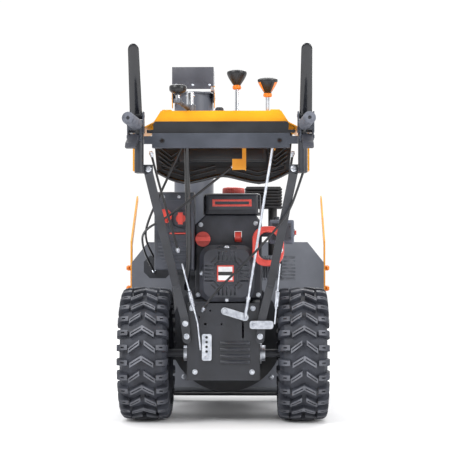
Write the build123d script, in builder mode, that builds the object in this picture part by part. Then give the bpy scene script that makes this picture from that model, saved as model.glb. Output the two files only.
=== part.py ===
from build123d import *
import math
import os

# A two stage snowblower, in millimetres.  +Y is the way it drives, +X the operator's right,
# +Z up.  The origin is on the ground below the middle of the whole machine.

# ---- driving dimensions ----
AXLE_Y = -90
AXLE_Z = 203
TYRE_R = 203
TYRE_HALF = 76
TRACK_X = 238
BEAD_R = 101
AXLE_R = 12.5

CASE_HALF = 109
CASE_REAR = -212
CASE_FRONT = 150
CASE_LOW = 131
CASE_TOP = 360
SHEET = 3

HOUSING_HALF = 330
HOUSING_BACK = 330
HOUSING_FRONT = 694
HOUSING_TOP = 552
IMPELLER_Z = 245
DRUM_R = 186
IMPELLER_R = 176
AUGER_Y = 505
AUGER_Z = 190
AUGER_R = 150

CHUTE_X = -112
CHUTE_Y = 236
CHUTE_R = 70
CHUTE_FOOT = 472
CHUTE_TOP = 1050

CRANK_X = 10
CRANK_Z = 456
ENGINE_REAR = -165

BAR_REAR = -222.5
POST_X = 225
POST_Y = -500
POST_R = 12.5
GRIP_Z = 857
GRIP_R = 16.5
PANEL_Z = 902
LEVER_PIVOT = (-400, 815)

RUN_FIT = 0.06
GROOVE_LIP = 1.5
GROOVE_DEPTH = 10
GAP = 0.5

FRONT_ON = Plane(origin=(0, 0, 0), x_dir=(1, 0, 0), z_dir=(0, -1, 0))
SIDE_ON = Plane(origin=(0, 0, 0), x_dir=(0, 1, 0), z_dir=(1, 0, 0))
BOTTOM_UP = (Align.CENTER, Align.CENTER, Align.MIN)

os.makedirs("parts", exist_ok=True)


def block(x_span, y_span, z_span, mode=Mode.ADD):
    """Add or cut a box given by its span along each axis."""
    spans = (x_span, y_span, z_span)
    with Locations(tuple(sum(span) / 2 for span in spans)):
        Box(*[span[1] - span[0] for span in spans], mode=mode)


def rod(start, end, radius, mode=Mode.ADD):
    """Add or cut a round bar between two points."""
    run = Vector(end) - Vector(start)
    with Locations(Plane(origin=start, z_dir=run)):
        Cylinder(radius, run.length, align=BOTTOM_UP, mode=mode)


def ring(start, end, outer, bore):
    """Add a tube between two points, its bore cut right through."""
    rod(start, end, outer)
    rod(start, end, bore, mode=Mode.SUBTRACT)


def cut_groove(centre, span, radius):
    """Cut a belt groove round a pulley that turns about a line along Y."""
    x, z = centre
    rod((x, span[0] + GROOVE_LIP, z), (x, span[1] - GROOVE_LIP, z), radius + 1, mode=Mode.SUBTRACT)
    rod((x, span[0], z), (x, span[1], z), radius - GROOVE_DEPTH)


def bent_rod(points, radius, bend):
    """A round rod or cable through some points, with an arc at each corner."""
    with BuildPart() as bent:
        with BuildLine() as path:
            FilletPolyline(*points, radius=bend)
        with BuildSketch(path.line ^ 0):
            Circle(radius)
        sweep(path=path.line)
    return bent.part


def mirrored(x_span, side):
    """The span of a box on one side of the middle plane, side being -1 or 1."""
    return sorted(side * x for x in x_span)


# ---- wheels: tyre, steel rim, axle half ----
AXLE_PLANE = Plane(origin=(0, AXLE_Y, AXLE_Z), x_dir=(1, 0, 0), z_dir=(0, -1, 0))
AXLE_LINE = Axis((0, AXLE_Y, AXLE_Z), (1, 0, 0))
TREAD_DEPTH = 14
TYRE_OUTSIDE = [(26 - TYRE_HALF, BEAD_R), (20 - TYRE_HALF, 118), (-TYRE_HALF, 150), (-TYRE_HALF, 178),
                (10 - TYRE_HALF, 197), (-20, TYRE_R)]
TYRE_INSIDE = [(36 - TYRE_HALF, BEAD_R), (32 - TYRE_HALF, 116), (12 - TYRE_HALF, 150), (12 - TYRE_HALF, 172),
               (22 - TYRE_HALF, 184), (-20, TYRE_R - TREAD_DEPTH)]
RIM_HALF = TYRE_HALF - 18


def make_tyre(side):
    """A hollow tyre, open towards the rim; its tread blocks stand inside this outline."""
    outline = TYRE_OUTSIDE + [(-x, r) for x, r in reversed(TYRE_OUTSIDE)]
    cavity = TYRE_INSIDE + [(-x, r) for x, r in reversed(TYRE_INSIDE)]
    centre = side * TRACK_X
    with BuildPart() as tyre:
        with BuildSketch(AXLE_PLANE):
            with BuildLine():
                Polyline(*[(centre + x, r) for x, r in outline], close=True)
            make_face()
            with BuildLine():
                Polyline(*[(centre + x, r) for x, r in cavity], close=True)
            make_face(mode=Mode.SUBTRACT)
        revolve(axis=AXLE_LINE)
    return tyre.part


def make_rim(side):
    """A pressed rim with its disc and hub, the axle half, and the pin through both."""
    hub_out = side * 300
    with BuildPart() as rim:
        with BuildSketch(AXLE_PLANE):
            for flange in (-RIM_HALF, RIM_HALF):
                with Locations((side * TRACK_X + flange, 104)):
                    Rectangle(3, 24)
            with Locations((side * TRACK_X, 96.5)):
                Rectangle(2 * RIM_HALF + 3, 8)
            with Locations((side * (TRACK_X + 12), 55)):
                Rectangle(4, 80)
            with Locations((side * 232, 17.5)):
                Rectangle(96, 10 - RUN_FIT)
        revolve(axis=AXLE_LINE)
    with BuildPart() as axle:
        rod((side * 4, AXLE_Y, AXLE_Z), (hub_out, AXLE_Y, AXLE_Z), AXLE_R - RUN_FIT)
    return [rim.part, axle.part]


with BuildPart() as tyre_left:
    add(make_tyre(-1))
tyre_left.part.label = "tyre_left"
export_step(tyre_left.part, "parts/tyre_left.step")

with BuildPart() as tyre_right:
    add(make_tyre(1))
tyre_right.part.label = "tyre_right"
export_step(tyre_right.part, "parts/tyre_right.step")

with BuildPart() as rim_left:
    add(make_rim(-1))
rim_left.part.label = "rim_left"
export_step(rim_left.part, "parts/rim_left.step")

with BuildPart() as rim_right:
    add(make_rim(1))
rim_right.part.label = "rim_right"
export_step(rim_right.part, "parts/rim_right.step")

# ---- tractor frame ----
SHAFT_R = 12.5
HEX_Y = -36
HEX_Z = 272
PULLEY_Y = (104, 124)
BELT_SLOT = (-62, 82)

with BuildPart() as frame_case:
    block((-CASE_HALF, CASE_HALF), (CASE_REAR, CASE_FRONT), (CASE_LOW, CASE_TOP))
    block((SHEET - CASE_HALF, CASE_HALF - SHEET), (CASE_REAR - 1, CASE_FRONT - SHEET),
          (CASE_LOW + SHEET, CASE_TOP - SHEET), mode=Mode.SUBTRACT)
    block(BELT_SLOT, (PULLEY_Y[0] - 20, PULLEY_Y[1] + 6), (CASE_TOP - 10, CASE_TOP + 1), mode=Mode.SUBTRACT)
    rod((-120, AXLE_Y, AXLE_Z), (120, AXLE_Y, AXLE_Z), AXLE_R + 2, mode=Mode.SUBTRACT)
    rod((-120, HEX_Y, HEX_Z), (120, HEX_Y, HEX_Z), 8 + RUN_FIT, mode=Mode.SUBTRACT)
    rod((0, CASE_FRONT + 1, IMPELLER_Z), (0, CASE_FRONT - 10, IMPELLER_Z), SHAFT_R + 2, mode=Mode.SUBTRACT)
frame_case.part.label = "frame_case"
export_step(frame_case.part, "parts/frame_case.step")

LOUVRE_ROWS = (241, 222, 202, 184.5)

with BuildPart() as rear_cover:
    block((-106, 106), (CASE_REAR - SHEET, CASE_REAR), (CASE_LOW + 36, CASE_TOP))
    block((-106, 106), (CASE_REAR - SHEET, CASE_REAR), (CASE_LOW, CASE_LOW + 36 - 0.01))
    for row in LOUVRE_ROWS:
        rod((-6, CASE_REAR - SHEET, row), (74, CASE_REAR - SHEET, row), 4)
        block((-12, 80), (CASE_REAR, CASE_REAR + 8), (row - 6, row + 6), mode=Mode.SUBTRACT)
    block((55, 61), (CASE_REAR - 10, CASE_REAR + 1), (256, 307), mode=Mode.SUBTRACT)
    for x, z, radius in ((-54, 298, 4), (-6, 298, 3), (-72, 319, 3), (-39, 338, 3), (-61, 343, 3)):
        rod((x, CASE_REAR - 10, z), (x, CASE_REAR + 1, z), radius, mode=Mode.SUBTRACT)
rear_cover.part.label = "rear_cover"
export_step(rear_cover.part, "parts/rear_cover.step")

with BuildPart() as axle_bearings:
    for side in (-1, 1):
        inner = (side * CASE_HALF, AXLE_Y, AXLE_Z)
        ring(inner, (side * (CASE_HALF + 5), AXLE_Y, AXLE_Z), 32, AXLE_R)
        ring((side * (CASE_HALF + 5), AXLE_Y, AXLE_Z), (side * (CASE_HALF + 16), AXLE_Y, AXLE_Z), 24, AXLE_R)
axle_bearings.part.label = "axle_bearings"
export_step(axle_bearings.part, "parts/axle_bearings.step")

# ---- friction drive inside the frame: disc, hexagon shaft, wheel ----
DISC_Y = (20, 28)
DISC_PULLEY = (87, 100)
DISC_PULLEY_R = 42

with BuildPart() as drive_disc:
    rod((0, DISC_Y[0], HEX_Z), (0, DISC_Y[1], HEX_Z), 72)
    rod((0, DISC_Y[1], HEX_Z), (0, DISC_PULLEY[1], HEX_Z), 10)
    rod((0, DISC_PULLEY[0], HEX_Z), (0, DISC_PULLEY[1], HEX_Z), DISC_PULLEY_R)
    cut_groove((0, HEX_Z), DISC_PULLEY, DISC_PULLEY_R)
drive_disc.part.label = "drive_disc"
export_step(drive_disc.part, "parts/drive_disc.step")

with BuildPart() as hex_shaft:
    with BuildSketch(Plane.YZ.offset(-100)):
        with Locations((HEX_Y, HEX_Z)):
            RegularPolygon(7.9, 6)
    extrude(amount=200)
    rod((-106, HEX_Y, HEX_Z), (106, HEX_Y, HEX_Z), 6)
    rod((84, HEX_Y, HEX_Z), (98, HEX_Y, HEX_Z), 22)
hex_shaft.part.label = "hex_shaft"
export_step(hex_shaft.part, "parts/hex_shaft.step")

WHEEL_X = 0

with BuildPart() as friction_wheel:
    ring((WHEEL_X - 6, HEX_Y, HEX_Z), (WHEEL_X + 6, HEX_Y, HEX_Z), 55.6, 7.96)
    ring((WHEEL_X - 16, HEX_Y, HEX_Z), (WHEEL_X + 16, HEX_Y, HEX_Z), 18, 7.96)
friction_wheel.part.label = "friction_wheel"
export_step(friction_wheel.part, "parts/friction_wheel.step")

# ---- auger housing ----
CHAMFER_X = 56
CHAMFER_Z = 70
SHOULDER = HOUSING_TOP - CHAMFER_Z
DRUM_PLATE = 150


ARCH = [(-HOUSING_HALF, 55), (-HOUSING_HALF, SHOULDER), (CHAMFER_X - HOUSING_HALF, HOUSING_TOP),
        (HOUSING_HALF - CHAMFER_X, HOUSING_TOP), (HOUSING_HALF, SHOULDER), (HOUSING_HALF, 55)]
INNER = HOUSING_HALF - SHEET
ARCH_INSIDE = [(-INNER, 50), (-INNER, SHOULDER - 2), (CHAMFER_X - INNER, HOUSING_TOP - SHEET - 2),
               (INNER - CHAMFER_X, HOUSING_TOP - SHEET - 2), (INNER, SHOULDER - 2), (INNER, 50)]

with BuildPart() as housing_shell:
    with BuildSketch(FRONT_ON.offset(-HOUSING_BACK)):
        with BuildLine():
            Polyline(*ARCH, close=True)
        make_face()
    extrude(amount=-SHEET)
    with BuildSketch(FRONT_ON.offset(-HOUSING_BACK - SHEET)):
        with BuildLine():
            Polyline(*ARCH, close=True)
        make_face()
        with BuildLine():
            Polyline(*ARCH_INSIDE, close=True)
        make_face(mode=Mode.SUBTRACT)
        with Locations((0, SHOULDER / 2 - 10)):
            Rectangle(2 * HOUSING_HALF + 2, SHOULDER, mode=Mode.SUBTRACT)
    extrude(amount=-230)
    rod((0, HOUSING_BACK - 1, IMPELLER_Z), (0, HOUSING_BACK + SHEET + 1, IMPELLER_Z), DRUM_R - SHEET,
        mode=Mode.SUBTRACT)
    with BuildSketch(SIDE_ON.offset(-INNER)):
        with BuildLine():
            Polyline((HOUSING_BACK, 55), (HOUSING_BACK + 95, 26), (HOUSING_BACK + 95, 30),
                     (HOUSING_BACK + SHEET, 58), (HOUSING_BACK, 58), close=True)
        make_face()
    extrude(amount=2 * INNER)
housing_shell.part.label = "housing_shell"
export_step(housing_shell.part, "parts/housing_shell.step")

with BuildPart() as housing_sides:
    for side in (-1, 1):
        with BuildSketch(SIDE_ON.offset(side * HOUSING_HALF)):
            with BuildLine():
                Polyline((HOUSING_BACK + SHEET, SHOULDER - 10), (565, SHOULDER - 10), (HOUSING_FRONT, 330),
                         (HOUSING_FRONT, 60), (650, 22), (HOUSING_BACK + SHEET, 22), close=True)
            face = make_face()
            fillet(face.vertices().group_by(Axis.X)[-1], radius=24)
            with Locations((AUGER_Y, AUGER_Z)):
                Circle(10 + RUN_FIT, mode=Mode.SUBTRACT)
        extrude(amount=-side * SHEET)
housing_sides.part.label = "housing_sides"
export_step(housing_sides.part, "parts/housing_sides.step")

NECK_FOOT = 250
NECK_TOP = 466

with BuildPart() as drum_weldment:
    rod((0, DRUM_PLATE, IMPELLER_Z), (0, HOUSING_BACK, IMPELLER_Z), DRUM_R)
    rod((CHUTE_X, CHUTE_Y, NECK_FOOT), (CHUTE_X, CHUTE_Y, NECK_TOP), CHUTE_R + 3)
    rod((CHUTE_X, CHUTE_Y, NECK_TOP - 8), (CHUTE_X, CHUTE_Y, NECK_TOP), CHUTE_R + 5)
    rod((CHUTE_X, CHUTE_Y, NECK_FOOT - 1), (CHUTE_X, CHUTE_Y, NECK_TOP + 1), CHUTE_R, mode=Mode.SUBTRACT)
    rod((0, DRUM_PLATE + SHEET, IMPELLER_Z), (0, HOUSING_BACK + 1, IMPELLER_Z), DRUM_R - SHEET,
        mode=Mode.SUBTRACT)
    rod((0, DRUM_PLATE - 1, IMPELLER_Z), (0, DRUM_PLATE + 10, IMPELLER_Z), SHAFT_R + 0.1, mode=Mode.SUBTRACT)

with BuildPart() as chute_drive_plate:
    with BuildSketch(FRONT_ON.offset(-DRUM_PLATE + 12)):
        with Locations((-225, 467)):
            Rectangle(92, 74)
            chamfer(vertices(), 20)
    extrude(amount=-4)
    block((-200, -104), (DRUM_PLATE - 8, CHUTE_Y - CHUTE_R - 3), (440, 452))

with BuildPart() as impeller_drum:
    add([drum_weldment.part, chute_drive_plate.part])
impeller_drum.part.label = "impeller_drum"
export_step(impeller_drum.part, "parts/impeller_drum.step")

with BuildPart() as scraper_bar:
    block((-INNER, INNER), (HOUSING_BACK + 66, HOUSING_BACK + 100), (19, 25.5))
scraper_bar.part.label = "scraper_bar"
export_step(scraper_bar.part, "parts/scraper_bar.step")

with BuildPart() as skid_shoes:
    for side in (-1, 1):
        block(mirrored((HOUSING_HALF, HOUSING_HALF + 4), side), (420, 600), (3, 90))
        block(mirrored((HOUSING_HALF - 22, HOUSING_HALF + 4), side), (430, 590), (0, 5))
skid_shoes.part.label = "skid_shoes"
export_step(skid_shoes.part, "parts/skid_shoes.step")

# ---- augers, worm gearbox, impeller ----
FLIGHT_W = 42
FLIGHT_STEPS = 20
FLIGHT_SPAN = (62, 308)
WORM_R = 14.4
WORM_WHEEL_R = 40


def make_flight(side):
    """A helical ribbon of plates one turn long, on three spokes, as it is cut and pressed."""
    mid_r = AUGER_R - FLIGHT_W / 2
    step = 360 / FLIGHT_STEPS
    pitch = FLIGHT_SPAN[1] - FLIGHT_SPAN[0]
    lean = math.degrees(math.atan2(pitch, 2 * math.pi * mid_r))
    plate = 2 * math.pi * (mid_r + 10) / FLIGHT_STEPS / math.cos(math.radians(lean)) + 6
    with BuildPart() as flight:
        for turn in range(FLIGHT_STEPS + 1):
            x = side * (FLIGHT_SPAN[0] + pitch * turn / FLIGHT_STEPS)
            place = Location((x, AUGER_Y, AUGER_Z)) * Rotation(step * turn, 0, 0)
            place = place * Location((0, 0, mid_r)) * Rotation(0, 0, side * lean)
            with Locations(place):
                Box(4, plate, FLIGHT_W)
        for turn in (2, 10, 18):
            x = side * (FLIGHT_SPAN[0] + pitch * turn / FLIGHT_STEPS)
            angle = math.radians(step * turn)
            tip = (x, AUGER_Y - (mid_r - 10) * math.sin(angle), AUGER_Z + (mid_r - 10) * math.cos(angle))
            rod((x, AUGER_Y, AUGER_Z), tip, 8)
        rod((side * (FLIGHT_SPAN[0] - 8), AUGER_Y, AUGER_Z), (side * 318, AUGER_Y, AUGER_Z), 16)
        rod((0, AUGER_Y, AUGER_Z), (side * 330, AUGER_Y, AUGER_Z), 10, mode=Mode.SUBTRACT)
    return flight.part


flights = [make_flight(-1), make_flight(1)]

with BuildPart() as auger_shaft:
    rod((-HOUSING_HALF - 6, AUGER_Y, AUGER_Z), (HOUSING_HALF + 6, AUGER_Y, AUGER_Z), 10)
    rod((-12, AUGER_Y, AUGER_Z), (12, AUGER_Y, AUGER_Z), WORM_WHEEL_R)

with BuildPart() as augers:
    add(flights + [auger_shaft.part])
augers.part.label = "augers"
export_step(augers.part, "parts/augers.step")

GEARBOX_Y = (AUGER_Y - 62, AUGER_Y + 50)

with BuildPart() as gearbox_case:
    block((-34, 34), GEARBOX_Y, (140, 274))
    fillet(gearbox_case.edges(), radius=12)
    rod((-48, AUGER_Y, AUGER_Z), (48, AUGER_Y, AUGER_Z), 24)
    block((-20, 20), (GEARBOX_Y[0] + 8, GEARBOX_Y[1] - 8), (148, 266), mode=Mode.SUBTRACT)
    rod((-50, AUGER_Y, AUGER_Z), (50, AUGER_Y, AUGER_Z), 10 + RUN_FIT, mode=Mode.SUBTRACT)
    rod((0, GEARBOX_Y[0] - 1, IMPELLER_Z), (0, GEARBOX_Y[0] + 10, IMPELLER_Z), SHAFT_R + RUN_FIT,
        mode=Mode.SUBTRACT)
gearbox_case.part.label = "gearbox_case"
export_step(gearbox_case.part, "parts/gearbox_case.step")

IMPELLER_PULLEY_R = 92
BLADES = 4

with BuildPart() as impeller_fan:
    ring((0, 190, IMPELLER_Z), (0, 290, IMPELLER_Z), 24, SHAFT_R)
    for blade in range(BLADES):
        turned = Location((0, 240, IMPELLER_Z)) * Rotation(0, 360 / BLADES * blade + 20, 0)
        with Locations(turned * Location((0, 0, (IMPELLER_R + 20) / 2))):
            Box(5, 90, IMPELLER_R - 20)
        with Locations(turned * Location((9, 0, IMPELLER_R - 10))):
            Box(18, 90, 5)

with BuildPart() as impeller_shaft:
    rod((0, PULLEY_Y[0], IMPELLER_Z), (0, GEARBOX_Y[1] - 9, IMPELLER_Z), SHAFT_R)
    rod((0, PULLEY_Y[0], IMPELLER_Z), (0, PULLEY_Y[1], IMPELLER_Z), IMPELLER_PULLEY_R)
    cut_groove((0, IMPELLER_Z), PULLEY_Y, IMPELLER_PULLEY_R)
    rod((0, AUGER_Y - 30, IMPELLER_Z), (0, AUGER_Y + 30, IMPELLER_Z), WORM_R)

with BuildPart() as impeller:
    add([impeller_fan.part, impeller_shaft.part])
impeller.part.label = "impeller"
export_step(impeller.part, "parts/impeller.step")

# ---- engine ----
BLOCK_Y = (-60, 85)
CRANK_PULLEY_R = 36
TRACTION_PULLEY_R = 28
HEAD_Z = 464
HEAD_Y = -58

with BuildPart() as crankshaft:
    rod((CRANK_X, -158, CRANK_Z), (CRANK_X, PULLEY_Y[1] + 6, CRANK_Z), SHAFT_R)
    rod((CRANK_X, -150, CRANK_Z), (CRANK_X, -118, CRANK_Z), 76)
    for fin in range(12):
        turned = Location((CRANK_X, -154, CRANK_Z)) * Rotation(0, 30 * fin, 0)
        with Locations(turned * Location((0, 0, 58))):
            Box(3, 10, 32)
    rod((CRANK_X, 0, CRANK_Z), (CRANK_X, 22, CRANK_Z), 40)
    rod((CRANK_X, DISC_PULLEY[0], CRANK_Z), (CRANK_X, DISC_PULLEY[1], CRANK_Z), TRACTION_PULLEY_R)
    cut_groove((CRANK_X, CRANK_Z), DISC_PULLEY, TRACTION_PULLEY_R)
    rod((CRANK_X, PULLEY_Y[0], CRANK_Z), (CRANK_X, PULLEY_Y[1], CRANK_Z), CRANK_PULLEY_R)
    cut_groove((CRANK_X, CRANK_Z), PULLEY_Y, CRANK_PULLEY_R)
crankshaft.part.label = "crankshaft"
export_step(crankshaft.part, "parts/crankshaft.step")

BELT_PLAY = 0.6


def make_belt(upper, lower, span):
    """A closed belt round two pulleys; each pulley is its centre (x, z) and its radius."""
    with BuildPart() as belt:
        for inset, mode in ((1, Mode.ADD), (GROOVE_DEPTH - BELT_PLAY, Mode.SUBTRACT)):
            with BuildSketch(FRONT_ON.offset(-span[0] - GROOVE_LIP - BELT_PLAY)):
                for centre, radius in (upper, lower):
                    with Locations(centre):
                        Circle(radius - inset)
                make_hull()
            extrude(amount=-(span[1] - span[0] - 2 * (GROOVE_LIP + BELT_PLAY)), mode=mode)
    return belt.part


belt_pieces = [
    make_belt(((CRANK_X, CRANK_Z), CRANK_PULLEY_R), ((0, IMPELLER_Z), IMPELLER_PULLEY_R), PULLEY_Y),
    make_belt(((CRANK_X, CRANK_Z), TRACTION_PULLEY_R), ((0, HEX_Z), DISC_PULLEY_R), DISC_PULLEY),
]

with BuildPart() as belts:
    add(belt_pieces)
belts.part.label = "belts"
export_step(belts.part, "parts/belts.step")

with BuildPart() as belt_cover:
    block((-75, 95), (BLOCK_Y[1] + 1, CASE_FRONT), (CASE_TOP, 512))
    fillet(belt_cover.edges().group_by(Axis.Z)[-1], radius=20)
    block((-72, 92), (BLOCK_Y[1], CASE_FRONT - SHEET), (CASE_TOP - 1, 500), mode=Mode.SUBTRACT)
belt_cover.part.label = "belt_cover"
export_step(belt_cover.part, "parts/belt_cover.step")

with BuildPart() as engine_block:
    block((-70, 95), BLOCK_Y, (CASE_TOP, 560))
    fillet(engine_block.edges().filter_by(Axis.Y), radius=16)
    block((90, 168), (HEAD_Y, HEAD_Y + 76), (HEAD_Z - 30, HEAD_Z + 30))
    for fin in range(8):
        block((100 + 8 * fin, 103 + 8 * fin), (HEAD_Y - 10, HEAD_Y + 86), (HEAD_Z - 38, HEAD_Z + 38))
    block((163, 219), (HEAD_Y - 14, HEAD_Y + 90), (HEAD_Z - 38, HEAD_Z + 38))
    for slot in range(6):
        block((170, 220), (HEAD_Y - 15, HEAD_Y + 91), (HEAD_Z - 30 + 11 * slot, HEAD_Z - 25 + 11 * slot),
              mode=Mode.SUBTRACT)
    block((163, 178), (HEAD_Y, HEAD_Y + 76), (HEAD_Z - 36, HEAD_Z + 36))
    rod((CRANK_X, BLOCK_Y[0] + 30, CRANK_Z), (CRANK_X, BLOCK_Y[1] - 30, CRANK_Z), 48, mode=Mode.SUBTRACT)
    rod((CRANK_X, BLOCK_Y[0] - 1, CRANK_Z), (CRANK_X, BLOCK_Y[1] + 1, CRANK_Z), SHAFT_R + RUN_FIT,
        mode=Mode.SUBTRACT)
    block((-87, -45), (-190, BLOCK_Y[0]), (CASE_TOP, CASE_TOP + 4))
engine_block.part.label = "engine_block"
export_step(engine_block.part, "parts/engine_block.step")

COWL_X = (-87, 115)
COWL_TOP = 627
VALVE_PLACE = (-63, 552)
SWITCH_PLACE = (43, 559)

with BuildPart() as engine_cowl:
    with BuildSketch(FRONT_ON.offset(-ENGINE_REAR)):
        with BuildLine():
            Polyline((-87, 372), (-87, 596), (-56, COWL_TOP), (96, COWL_TOP), (115, 600), (115, 372), close=True)
        make_face()
    extrude(amount=-(BLOCK_Y[0] - 1 - ENGINE_REAR))
    fillet(engine_cowl.edges().group_by(Axis.Y)[0], radius=6)
    rod((CRANK_X, ENGINE_REAR - 1, CRANK_Z), (CRANK_X, BLOCK_Y[0], CRANK_Z), 80, mode=Mode.SUBTRACT)
    block((-83, 111), (ENGINE_REAR + 4, BLOCK_Y[0]), (371, 594), mode=Mode.SUBTRACT)
    rod((VALVE_PLACE[0], ENGINE_REAR - 1, VALVE_PLACE[1]), (VALVE_PLACE[0], ENGINE_REAR + 6, VALVE_PLACE[1]),
        5 + RUN_FIT, mode=Mode.SUBTRACT)
    block((SWITCH_PLACE[0] - 11, SWITCH_PLACE[0] + 11), (ENGINE_REAR - 1, ENGINE_REAR + 6),
          (SWITCH_PLACE[1] - 17, SWITCH_PLACE[1] + 17), mode=Mode.SUBTRACT)
engine_cowl.part.label = "engine_cowl"
export_step(engine_cowl.part, "parts/engine_cowl.step")

RECOIL_REAR = -224
RECOIL_HALF = 82
RECOIL_Z = (364, 534)

with BuildPart() as recoil_cover:
    with BuildSketch(FRONT_ON.offset(-ENGINE_REAR)):
        with Locations((CRANK_X, sum(RECOIL_Z) / 2)):
            RectangleRounded(2 * RECOIL_HALF, RECOIL_Z[1] - RECOIL_Z[0], 40)
    extrude(amount=ENGINE_REAR - RECOIL_REAR)
    chamfer(recoil_cover.faces().sort_by(Axis.Y)[0].edges(), 14)
    rod((CRANK_X, ENGINE_REAR + 1, CRANK_Z), (CRANK_X, RECOIL_REAR + 5, CRANK_Z), 76, mode=Mode.SUBTRACT)
    for offset in range(-2, 3):
        for level in (-52, 52):
            z = sum(RECOIL_Z) / 2 + level
            block((CRANK_X + 12 * offset - 2.5, CRANK_X + 12 * offset + 2.5), (RECOIL_REAR - 1, ENGINE_REAR - 20),
                  (z - 12, z + 12), mode=Mode.SUBTRACT)
            x = CRANK_X + level
            z = sum(RECOIL_Z) / 2 + 11 * offset
            block((x - 13, x + 13), (RECOIL_REAR - 1, ENGINE_REAR - 20), (z - 2.5, z + 2.5),
                  mode=Mode.SUBTRACT)
recoil_cover.part.label = "recoil_cover"
export_step(recoil_cover.part, "parts/recoil_cover.step")

TANK_Y = (-190, -30)
CAP_PLACE = (28, -100)

with BuildPart() as fuel_tank:
    block((-62, 112), TANK_Y, (COWL_TOP + GAP, 690))
    fillet(fuel_tank.edges().filter_by(Axis.Z), radius=20)
    fillet(fuel_tank.edges().group_by(Axis.Z)[-1], radius=10)
    block((-58, 108), (TANK_Y[0] + 4, TANK_Y[1] - 4), (COWL_TOP + 5, 684), mode=Mode.SUBTRACT)
    ring((*CAP_PLACE, 683), (*CAP_PLACE, 700), 21, 17)
fuel_tank.part.label = "fuel_tank"
export_step(fuel_tank.part, "parts/fuel_tank.step")

with BuildPart() as fuel_cap:
    rod((*CAP_PLACE, 691), (*CAP_PLACE, 714), 34.5)
    fillet(fuel_cap.edges().group_by(Axis.Z)[-1], radius=5)
    rod((*CAP_PLACE, 690), (*CAP_PLACE, 701), 21.5, mode=Mode.SUBTRACT)
fuel_cap.part.label = "fuel_cap"
export_step(fuel_cap.part, "parts/fuel_cap.step")

GUARD_X = (62, 180)
GUARD_Y = (-20, 90)

with BuildPart() as muffler:
    block(GUARD_X, GUARD_Y, (653, 721))
    fillet(muffler.edges().filter_by(Axis.Y), radius=12)
    block((GUARD_X[0] + 3, GUARD_X[1] - 3), (GUARD_Y[0] + 3, GUARD_Y[1] - 3), (652, 717), mode=Mode.SUBTRACT)
    for slot in range(9):
        block((GUARD_X[0] + 12 + 11 * slot, GUARD_X[0] + 17 + 11 * slot), (GUARD_Y[0] - 1, GUARD_Y[1] + 1),
              (668, 712), mode=Mode.SUBTRACT)
    block((76, 168), (-8, 78), (655, 708))
    block((GUARD_X[0] + 1, GUARD_X[1] - 1), (10, 60), (655, 660))
    rod((150, 20, 503), (150, 20, 660), 14)
muffler.part.label = "muffler"
export_step(muffler.part, "parts/muffler.step")

# ---- boxes, knobs and switches round the engine ----
HEATER_X = (-206, -87.5)
HEATER_Y = (-230, -130)
CHOKE_PLACE = (-174, 619)
THROTTLE_PLACE = (-127, 612)

with BuildPart() as heater_box:
    block(HEATER_X, HEATER_Y, (459, 692))
    fillet(heater_box.edges().group_by(Axis.Y)[0], radius=7)
    block((HEATER_X[0] + 4, HEATER_X[1] - 4), (HEATER_Y[0] + 10, HEATER_Y[1] + 1), (463, 688), mode=Mode.SUBTRACT)
    with BuildSketch(FRONT_ON.offset(-HEATER_Y[0])):
        with Locations(THROTTLE_PLACE):
            RegularPolygon(30, 8)
    extrude(amount=-7, mode=Mode.SUBTRACT)
    block((-172, -100), (HEATER_Y[0] - 1, HEATER_Y[0] + 5), (563, 573), mode=Mode.SUBTRACT)
    for x, z in (CHOKE_PLACE, THROTTLE_PLACE):
        rod((x, HEATER_Y[0] - 1, z), (x, HEATER_Y[0] + 20, z), 4 + RUN_FIT, mode=Mode.SUBTRACT)
heater_box.part.label = "heater_box"
export_step(heater_box.part, "parts/heater_box.step")

with BuildPart() as choke_knob:
    x, z = CHOKE_PLACE
    rod((x, HEATER_Y[0] - 1, z), (x, HEATER_Y[0] - 12, z), 21)
    block((x - 6, x + 6), (HEATER_Y[0] - 26, HEATER_Y[0] - 12), (z - 19, z + 19))
    rod((x, HEATER_Y[0] - 1, z), (x, HEATER_Y[0] + 18, z), 4)
choke_knob.part.label = "choke_knob"
export_step(choke_knob.part, "parts/choke_knob.step")

with BuildPart() as throttle_knob:
    x, z = THROTTLE_PLACE
    rod((x, HEATER_Y[0] + 6, z), (x, HEATER_Y[0] - 5, z), 14)
    block((x - 7, x + 7), (HEATER_Y[0] - 18, HEATER_Y[0] - 3), (z - 17.5, z + 17.5))
    rod((x, HEATER_Y[0] + 6, z), (x, HEATER_Y[0] + 18, z), 4)
throttle_knob.part.label = "throttle_knob"
export_step(throttle_knob.part, "parts/throttle_knob.step")

with BuildPart() as fuel_valve_knob:
    x, z = VALVE_PLACE
    rod((x, ENGINE_REAR - 1, z), (x, ENGINE_REAR - 14, z), 22.6)
    block((x - 22, x + 22), (ENGINE_REAR - 28, ENGINE_REAR - 14), (z - 6, z + 6))
    rod((x, ENGINE_REAR - 1, z), (x, ENGINE_REAR + 6, z), 5)
fuel_valve_knob.part.label = "fuel_valve_knob"
export_step(fuel_valve_knob.part, "parts/fuel_valve_knob.step")

ROCKER_Y = ENGINE_REAR + 5

with BuildPart() as engine_switch:
    x, z = SWITCH_PLACE
    rod((x - 10, ROCKER_Y, z), (x + 10, ROCKER_Y, z), 16)
engine_switch.part.label = "engine_switch"
export_step(engine_switch.part, "parts/engine_switch.step")

SWITCH_BOX_X = (137, 211)
BUTTON_PLACE = (-160, 572)

with BuildPart() as switch_box:
    block(SWITCH_BOX_X, (-200, -120), (538, 609))
    fillet(switch_box.edges(), radius=5)
    block((COWL_X[1] + 0.2, SWITCH_BOX_X[0]), (-134, -124), (560, 590))
    rod((SWITCH_BOX_X[1] - 14, *BUTTON_PLACE), (SWITCH_BOX_X[1] + 1, *BUTTON_PLACE), 7.4, mode=Mode.SUBTRACT)
switch_box.part.label = "switch_box"
export_step(switch_box.part, "parts/switch_box.step")

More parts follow.
